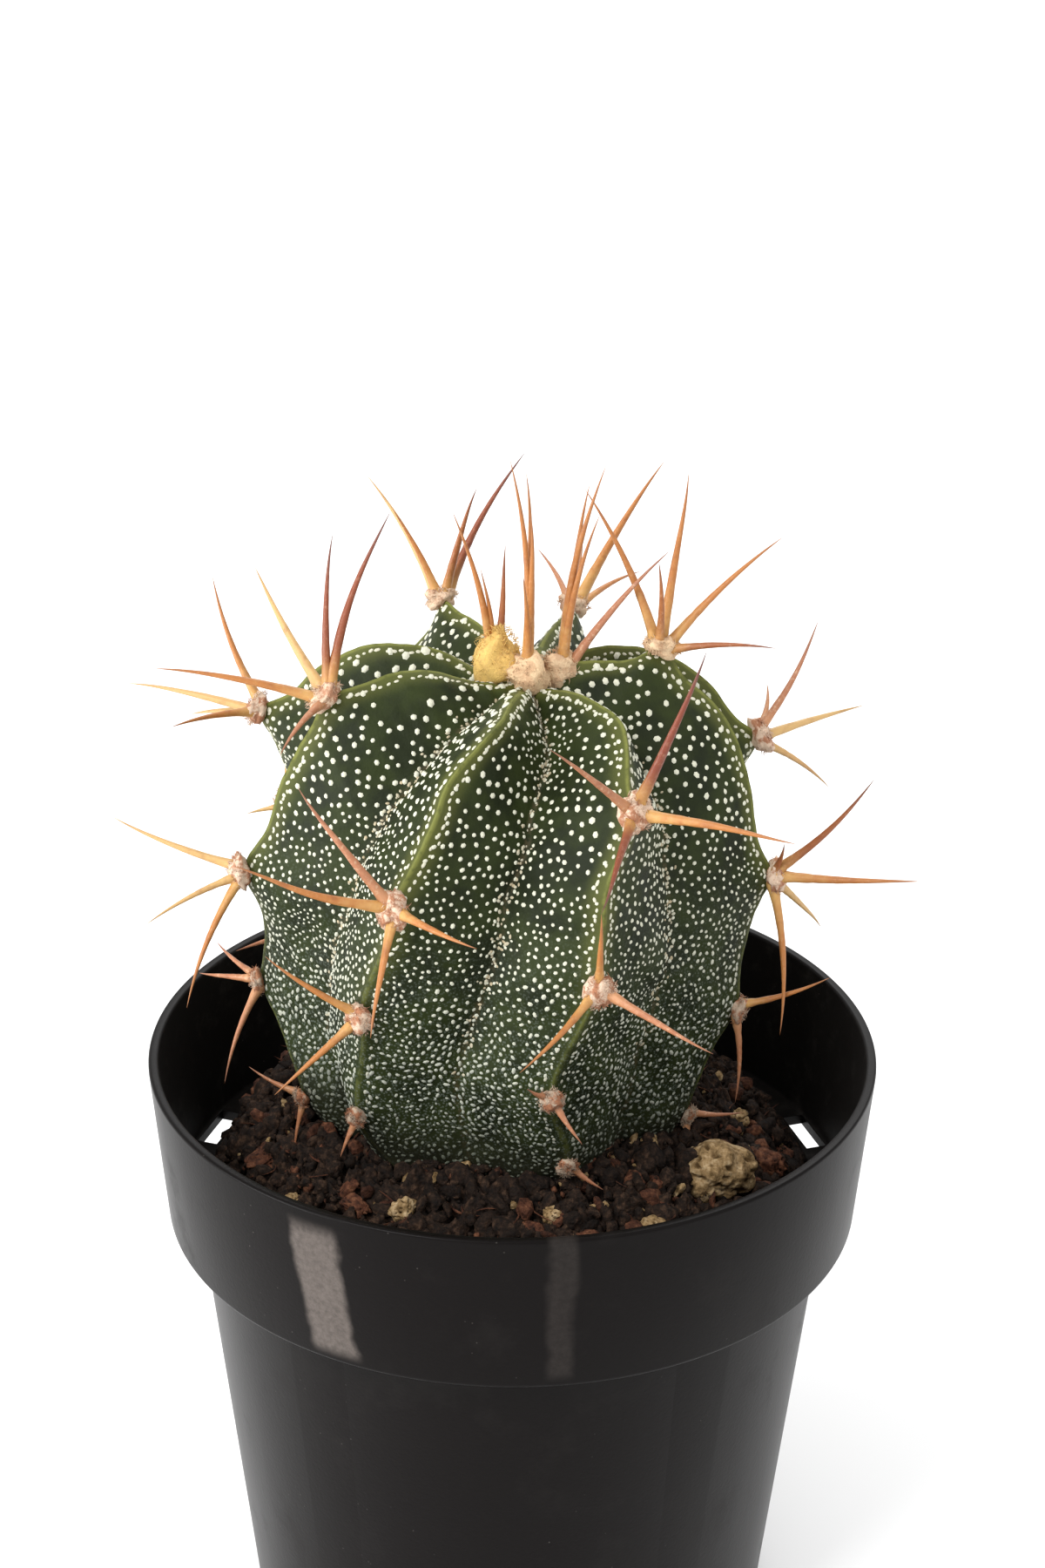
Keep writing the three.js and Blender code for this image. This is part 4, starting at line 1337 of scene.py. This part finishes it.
@dataclass
class NurseryPot:
    """The round plastic pot: a tapered wall, a ledge with slots, and a wider collar."""

    height: float = 80.0
    rim_radius: float = 45.0
    collar_height: float = 21.0
    collar_foot_radius: float = 43.1
    waist_radius: float = 39.5
    base_radius: float = 33.0
    wall: float = 1.3
    floor: float = 1.6
    segments: int = 288
    drain_count: int = 4
    drain_radius: float = 4.0
    drain_circle: float = 23.0
    slot_count: int = 5
    slot_length: float = 8.0
    slot_depth: float = 2.6

    def _outline(self) -> list[tuple[float, float]]:
        """The wall's closed outline, as [radius, height], with its edges rounded."""
        ledge = self.height - self.collar_height
        corners = [
            (self.base_radius, 0.0, 1.2), (self.waist_radius, ledge, 0.25),
            (self.collar_foot_radius, ledge, 0.6), (self.rim_radius, self.height, 0.45),
            (self.rim_radius - self.wall, self.height, 0.45),
            (self.collar_foot_radius - self.wall, ledge + self.wall, 0.5),
            (self.waist_radius - self.wall, ledge + self.wall, 0.4),
            (self.base_radius - self.wall, self.floor, 1.0),
        ]
        points = [(0.0, 0.0)]
        ends = [(0.0, 0.0)] + [(r, z) for r, z, _ in corners] + [(0.0, self.floor)]
        for index, (radius, height, bevel) in enumerate(corners, 1):
            here = np.array([radius, height])
            before = unit(np.array(ends[index - 1]) - here) * bevel
            after = unit(np.array(ends[index + 1]) - here) * bevel
            for t in np.linspace(0, 1, 6):
                bend = here + before * (1 - t) ** 2 + after * t**2
                points.append((float(bend[0]), float(bend[1])))
        points.append((0.0, self.floor))
        return points

    def _cutters(self) -> list[bpy.types.Object]:
        """The tools that cut the drain holes and the ledge slots."""
        tools = []
        ledge = self.height - self.collar_height
        for i in range(self.drain_count):
            turn = 2 * math.pi * (i + 0.5) / self.drain_count
            angle = np.arange(40) * (2 * math.pi / 40)
            ring = np.stack([self.drain_radius * np.cos(angle), self.drain_radius * np.sin(angle)], axis=-1)
            centre = self.drain_circle * np.array([math.cos(turn), math.sin(turn)])
            tools.append(self._prism(ring + centre, -3.0, 3.2 + self.floor))
        middle = (self.waist_radius + self.collar_foot_radius) / 2 - self.wall
        for i in range(self.slot_count):
            turn = 2 * math.pi * (i + 0.5) / self.slot_count
            half = np.array([self.slot_length, self.slot_depth]) / 2
            ring = np.array([(-1, -1), (1, -1), (1, 1), (-1, 1)]) * half - np.array([0, middle])
            turned = ring @ np.array([[math.cos(turn), math.sin(turn)], [-math.sin(turn), math.cos(turn)]])
            tools.append(self._prism(turned, ledge - 2.0, ledge + self.wall + 2.0))
        return tools

    @staticmethod
    def _prism(ring: Array, low: float, high: float) -> bpy.types.Object:
        """An upright prism over a ring of points."""
        count = len(ring)
        draft = MeshDraft("cutter")
        points = np.concatenate([
            np.column_stack([ring, np.full(count, low)]), np.column_stack([ring, np.full(count, high)]),
        ])
        draft.add(points, grid_faces(2, count, True))
        draft.faces.append(np.arange(count)[None, ::-1])
        draft.faces.append(np.arange(count)[None, :] + count)
        return draft.build(bpy.data.materials[0], smooth=False)

    def build(self) -> bpy.types.Object:
        """Makes the pot, cuts its openings and dresses it."""
        outline = np.array(self._outline())
        inner_rows = slice(1, len(outline) - 1)
        rings = outline[inner_rows]
        angle = (np.arange(self.segments) * (2 * math.pi / self.segments))[None, :]
        radius, height = rings[:, 0][:, None], rings[:, 1][:, None]
        points = np.stack([
            radius * np.cos(angle), radius * np.sin(angle), height + 0 * angle,
        ], axis=-1).reshape(-1, 3)
        draft = MeshDraft("pot_shell")
        rows = len(rings)
        inside = np.repeat((np.arange(rows) > rows * 0.55).astype(float), self.segments)
        turned = np.degrees(np.arctan2(points[:, 0], -points[:, 1]))
        fields = {"inner": inside, "bearing": turned, "level": points[:, 2]}
        draft.add(points, grid_faces(rows, self.segments, True), **fields)
        around = np.arange(self.segments)
        draft.faces.append(around[None, ::-1])
        draft.faces.append(around[None, :] + (rows - 1) * self.segments)
        shell = draft.build(BlackPlastic().build())
        tools = self._cutters()
        for tool in tools:
            cut = shell.modifiers.new("cut", "BOOLEAN")
            cut.operation = "DIFFERENCE"
            cut.solver = "EXACT"
            cut.object = tool
        self._apply(shell)
        for tool in tools:
            bpy.data.objects.remove(tool)
        return settle(shell, "black_plastic", "nursery_pot")

    @staticmethod
    def _apply(piece: bpy.types.Object) -> None:
        """Turns a piece's modifiers into plain mesh."""
        graph = bpy.context.evaluated_depsgraph_get()
        finished = bpy.data.meshes.new_from_object(piece.evaluated_get(graph))
        piece.modifiers.clear()
        old = piece.data
        piece.data = finished
        bpy.data.meshes.remove(old)
        piece.data.set_sharp_from_angle(angle=math.radians(35))


# ---- Soil ---------------------------------------------------------------------------------------


@dataclass
class PottingMix:
    """The soil: a rough mound, and the loose crumbs and grains that lie on it."""

    pot: NurseryPot
    stem: Stem
    mound: float = 10.0
    mound_inner: float = 22.0
    mound_outer: float = 44.0
    gap: float = 0.3
    rings: int = 120
    around: int = 420

    def level(self, x: Array, y: Array) -> Array:
        """The height of the soil's surface."""
        distance = np.hypot(x - self.stem.foot[0], y - self.stem.foot[1])
        slope = 1 - smoothstep(distance, self.mound_inner, self.mound_outer)
        waist = self.pot.waist_radius
        edge = smoothstep(np.hypot(x, y), waist - 6, waist - self.pot.wall)
        low = self.pot.height - self.pot.collar_height + self.pot.wall + 0.4
        return low + self.mound * slope * (1 - edge) + 0.8 * np.sin(x / 3.1) * np.cos(y / 3.7)

    def bed(self) -> bpy.types.Object:
        """The rough surface and the mass of soil under it, as one closed piece."""
        wall = self.pot.waist_radius - self.pot.wall - self.gap
        low_wall = self.pot.base_radius - self.pot.wall - self.gap
        angle = (np.arange(self.around) * (2 * math.pi / self.around))[None, :]
        radius = (wall * np.linspace(1, 0.02, self.rings) ** 0.8)[:, None]
        x, y = radius * np.cos(angle), radius * np.sin(angle)
        flat = np.stack([x, y, 0 * x], axis=-1)
        rough = 0.75 * Ripple(51, 5.0)(flat) + 0.45 * Ripple(52, 2.1)(flat) + 0.25 * Ripple(53, 1.0)(flat)
        fade = smoothstep(wall - radius, 0.0, 2.5)
        top = self.level(x, y) + rough * (0.25 + 0.75 * fade) - 0.2
        surface = np.stack([x, y, top], axis=-1)
        floor_level = self.pot.floor + self.gap
        walls = []
        for share in (0.0, 0.02, 0.5, 0.97):
            r = low_wall + (wall - low_wall) * share
            brim = self.level(wall * np.cos(angle), wall * np.sin(angle)) - 1.5
            z = floor_level + (brim - floor_level) * share
            walls.append(np.stack([r * np.cos(angle), r * np.sin(angle), z + 0 * angle], axis=-1))
        points = np.concatenate([*walls, surface]).reshape(-1, 3)
        rows = len(walls) + self.rings
        draft = MeshDraft("potting_soil_bed")
        shade = np.clip(-0.5 * Ripple(52, 2.1)(points), 0, 1)
        draft.add(points, grid_faces(rows, self.around, True), shade=shade)
        around = np.arange(self.around)
        draft.faces.append(around[None, ::-1])
        draft.faces.append(around[None, :] + (rows - 1) * self.around)
        return settle(draft.build(CrumbFinish(SoilTone.PEAT).build()), "soil_mix", "potting_soil")


@dataclass(frozen=True)
class Grain:
    """A loose grain: its place, half sizes, tone, turn, and the CAD node it replaces, if any."""

    name: str
    x: float
    y: float
    size: tuple[float, float, float]
    tone: SoilTone
    turn: float = 0.0
    node: str = ""


GRAINS: tuple[Grain, ...] = (
    Grain("vermiculite_chunk", 25, -8.6, (4.3, 3.5, 3.4), SoilTone.MINERAL, 20, "vermiculite_chunk"),
    Grain("bark_chip", 31.5, -2.5, (2.6, 2.0, 1.9), SoilTone.BARK, -30, "bark_chip"),
    Grain("perlite_grain_front", -10, -25, (2.1, 1.7, 1.5), SoilTone.MINERAL, 0, "perlite_grain_front"),
    Grain("perlite_grain_left", -22.5, -21.5, (2.1, 1.6, 1.4), SoilTone.MINERAL, 40, "perlite_grain_left"),
    Grain("perlite_grain_right", 20.5, -24.5, (2.2, 1.8, 1.6), SoilTone.MINERAL, 70, "perlite_grain_right"),
    Grain("perlite_grain_back", 12, 34.6, (1.9, 1.6, 1.4), SoilTone.MINERAL, 10, "perlite_grain_back"),
    Grain("gold_grain_1", -13, -20.5, (1.6, 1.2, 1.2), SoilTone.MINERAL, 30),
    Grain("gold_grain_2", -26.5, -15.5, (1.5, 1.1, 1.0), SoilTone.MINERAL, 80),
    Grain("gold_grain_3", 17, -19.5, (1.9, 1.3, 1.3), SoilTone.MINERAL, -20),
    Grain("gold_grain_4", 5, -21.5, (1.3, 1.0, 0.9), SoilTone.MINERAL, 50),
    Grain("gold_grain_5", 28.5, 3.5, (1.5, 1.2, 1.1), SoilTone.MINERAL, 15),
    Grain("bark_flake_1", -31, -6, (2.2, 1.4, 0.9), SoilTone.BARK, 60),
    Grain("bark_flake_2", 9, -23, (1.9, 1.2, 0.8), SoilTone.BARK, 10),
    Grain("bark_flake_3", -19, -18, (2.0, 1.1, 0.9), SoilTone.BARK, -40),
)


@dataclass
class LooseSoil:
    """What lies on the bed: peat crumbs, bark, mineral grit, thin fibres and the large grains."""

    mix: PottingMix
    seed: int = 71
    crumb_count: int = 3600
    fibre_count: int = 130
    stem_clearance: float = 21.0
    tones: tuple[tuple[SoilTone, float], ...] = (
        (SoilTone.PEAT, 0.8), (SoilTone.BARK, 0.14), (SoilTone.MINERAL, 0.06),
    )

    @staticmethod
    def _ball(level: int) -> tuple[Array, Array]:
        """A unit ball of triangles, as its points and faces."""
        ball = bmesh.new()
        bmesh.ops.create_icosphere(ball, subdivisions=level, radius=1.0)
        points = np.array([vertex.co[:] for vertex in ball.verts])
        faces = np.array([[vertex.index for vertex in face.verts] for face in ball.faces])
        ball.free()
        return points, faces

    def _spot(self, random: np.random.Generator) -> tuple[float, float]:
        """A random place on the bed, clear of the stem."""
        limit = self.mix.pot.waist_radius - self.mix.pot.wall - 1.2
        stem = self.mix.stem.foot
        while True:
            x, y = random.uniform(-limit, limit, 2)
            if math.hypot(x, y) < limit and math.hypot(x - stem[0], y - stem[1]) > self.stem_clearance:
                return float(x), float(y)

    def _lump(
        self, draft: MeshDraft, ball: tuple[Array, Array], place: Array, size: Array, seed: int
    ) -> None:
        """Adds one irregular lump.

        Args:
            draft: what it is added to.
            ball: the unit ball it is shaped from.
            place: its centre.
            size: its half sizes.
            seed: where its shape and turn come from.
        """
        random = np.random.default_rng(seed)
        points, faces = ball
        rough = 1 + 0.17 * Ripple(seed, 1.7)(points) + 0.09 * Ripple(seed + 1, 0.7, 6)(points)
        turn = np.linalg.qr(random.normal(size=(3, 3)))[0]
        if np.linalg.det(turn) < 0:
            turn[:, 0] = -turn[:, 0]
        shaped = points * rough[:, None] * size @ turn.T
        draft.add(place + shaped, faces, shade=random.uniform(0, 0.75) ** 1.5)

    def _crumbs(self) -> None:
        """Scatters the crumbs, one piece for each tone."""
        random = np.random.default_rng(self.seed)
        small, large = self._ball(1), self._ball(2)
        for tone, share in self.tones:
            draft = MeshDraft(f"soil_crumbs_{tone.value}")
            for index in range(int(self.crumb_count * share)):
                x, y = self._spot(random)
                width = 0.32 + 1.5 * random.uniform() ** 3
                if tone is SoilTone.MINERAL:
                    width = min(width, 0.9)
                size = width * np.array([1.0, random.uniform(0.55, 0.95), random.uniform(0.35, 0.75)])
                z = float(self.mix.level(np.array(x), np.array(y))) + random.uniform(-0.3, 0.55)
                ball = large if width > 0.75 else small
                self._lump(draft, ball, np.array([x, y, z]), size, self.seed + 7 * index)
            settle(draft.build(CrumbFinish(tone).build()), "soil_mix")

    def _fibres(self) -> None:
        """Scatters the thin, curved fibres."""
        random = np.random.default_rng(self.seed + 1)
        draft = MeshDraft("soil_fibres")
        for _ in range(self.fibre_count):
            x, y = self._spot(random)
            z = float(self.mix.level(np.array(x), np.array(y))) + random.uniform(0.2, 0.9)
            way = random.uniform(0, 2 * math.pi)
            along = np.array([math.cos(way), math.sin(way), random.normal(0, 0.22)])
            plane = np.array([-math.sin(way), math.cos(way), 0.0])
            t = np.linspace(-1, 1, 9)[:, None]
            length = random.uniform(0.8, 3.2)
            path = np.array([x, y, z]) + along * t * length
            path = path + plane * (t * t) * length * random.normal(0, 0.35)
            radii = random.uniform(0.06, 0.17) * (1.02 - np.abs(t[:, 0]) ** 3)
            points, faces = SpineClusters.tube(path, radii, 1.0, np.array([0.0, 0.0, 1.0]), 5)
            start = draft.count
            draft.add(points, faces, shade=random.uniform(0, 0.6))
            draft.faces.append(np.arange(5)[None, ::-1] + start)
            draft.faces.append(np.arange(5)[None, :] + start + 40)
        settle(draft.build(CrumbFinish(SoilTone.BARK, 1.4).build()), "soil_mix")

    def _grains(self) -> None:
        """Lays the large grains, pitted and lumpy."""
        points, faces = self._ball(5)
        for index, grain in enumerate(GRAINS):
            ripple = Ripple(300 + index, 1.5)(points)
            knobs = np.abs(Ripple(400 + index, 0.9, 12)(points))
            pits = smoothstep(Ripple(500 + index, 0.42, 12)(points), 0.9, 1.6)
            rough = 1 + 0.1 * ripple + 0.1 * knobs - 0.16 * pits
            turn = math.radians(grain.turn)
            spin = np.array([
                [math.cos(turn), math.sin(turn), 0], [-math.sin(turn), math.cos(turn), 0], [0, 0, 1],
            ])
            shaped = points * rough[:, None] * np.array(grain.size) @ spin
            z = float(self.mix.level(np.array(grain.x), np.array(grain.y)))
            place = np.array([grain.x, grain.y, z + grain.size[2] * 0.35])
            draft = MeshDraft(f"{grain.name}_surface")
            draft.add(place + shaped, faces, shade=np.clip(pits * 1.1, 0, 1))
            piece = draft.build(CrumbFinish(grain.tone, 1.1).build())
            nodes = (grain.node,) if grain.node else ()
            settle(piece, "soil_mix", *nodes)

    def build(self) -> None:
        """Builds the crumbs, the fibres and the grains."""
        self._crumbs()
        self._fibres()
        self._grains()


# ---- Studio -------------------------------------------------------------------------------------


@dataclass
class Studio:
    """The pale floor, the soft lights and the camera."""

    pot: NurseryPot
    distance: float = 400.0
    elevation: float = 29.4
    pitch: float = 24.78
    yaw: float = -0.14
    roll: float = 0.45
    lens: float = 73.8

    def camera(self) -> None:
        """Sets the camera in front of the pot's rim, looking down on it."""
        data = bpy.data.cameras.new("studio_camera")
        data.lens = self.lens
        data.sensor_width = 36.0
        data.clip_start = 0.01
        camera = bpy.data.objects.new("studio_camera", data)
        bpy.context.scene.collection.objects.link(camera)
        rise, pitch = math.radians(self.elevation), math.radians(self.pitch)
        yaw, roll = math.radians(self.yaw), math.radians(self.roll)
        forward = Vector((0, math.cos(pitch), -math.sin(pitch)))
        right = Vector((1, 0, 0))
        upward = right.cross(forward)
        turned = forward * math.cos(yaw) - right * math.sin(yaw)
        right = right * math.cos(yaw) + forward * math.sin(yaw)
        rolled = right * math.cos(roll) + upward * math.sin(roll)
        upward = upward * math.cos(roll) - right * math.sin(roll)
        place = Vector((0, -math.cos(rise), math.sin(rise))) * self.distance
        place += Vector((0, 0, self.pot.height))
        turn = Matrix((rolled, upward, -turned)).transposed().to_4x4()
        camera.matrix_world = Matrix.Translation(place * MM) @ turn
        bpy.context.scene.camera = camera

    def floor(self) -> None:
        """Lays the floor."""
        draft = MeshDraft("studio_floor")
        corners = np.array([(-1, -1, 0), (1, -1, 0), (1, 1, 0), (-1, 1, 0)]) * 6000.0
        draft.add(corners, np.array([[0, 1, 2, 3]]))
        floor = draft.build(StudioFloor().build(), smooth=False)
        floor.location.z = -0.0002

    def _area(self, name: str, place: Color, size: tuple[float, float], power: float) -> None:
        """Hangs one soft box that faces the plant."""
        data = bpy.data.lights.new(name, "AREA")
        data.shape = "RECTANGLE"
        data.size, data.size_y = size
        data.energy = power
        light = bpy.data.objects.new(name, data)
        bpy.context.scene.collection.objects.link(light)
        light.location = place
        aim = Vector((0, 0, 0.1)) - Vector(place)
        light.rotation_euler = aim.to_track_quat("-Z", "Y").to_euler()

    def lights(self) -> None:
        """Lights the plant softly from all round, brightest from the front left above."""
        world = bpy.data.worlds.new("studio_world")
        world.use_nodes = True
        shine = world.node_tree.nodes["Background"]
        shine.inputs["Color"].default_value = (1, 1, 1, 1)
        shine.inputs["Strength"].default_value = 0.95
        bpy.context.scene.world = world
        self._area("key_light", (-0.7, -0.75, 1.15), (0.6, 0.6), 15.0)
        self._area("fill_light", (0.9, -0.6, 0.9), (0.7, 0.7), 2.0)
        self._area("back_light", (0.2, 1.0, 1.0), (1.0, 0.6), 7.0)
        self._area("side_light", (-0.8, -0.3, 0.1), (0.5, 0.35), 7.0)
        bpy.context.scene.view_settings.view_transform = "Standard"

    def build(self) -> None:
        """Sets up the whole studio."""
        self.camera()
        self.floor()
        self.lights()


# ---- Assembly -----------------------------------------------------------------------------------


def corners(box: tuple[Vector, Vector]) -> list[list[float]]:
    """A box as plain lists of numbers."""
    return [list(map(float, corner)) for corner in box]


def main() -> None:
    """Builds the studio and every piece of the plant."""
    logging.basicConfig(level=logging.INFO, format="%(name)s: %(message)s")
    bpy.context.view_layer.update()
    pot, stem = NurseryPot(), Stem()
    Studio(pot).build()
    settle(stem.skin(), "stem_skin", "cactus_stem")
    for piece in Flecks(stem).build():
        settle(piece, "stem_skin")
    SpineClusters(stem).build()
    pot.build()
    soil = PottingMix(pot, stem)
    soil.bed()
    LooseSoil(soil).build()


if __name__ == "__main__":
    main()
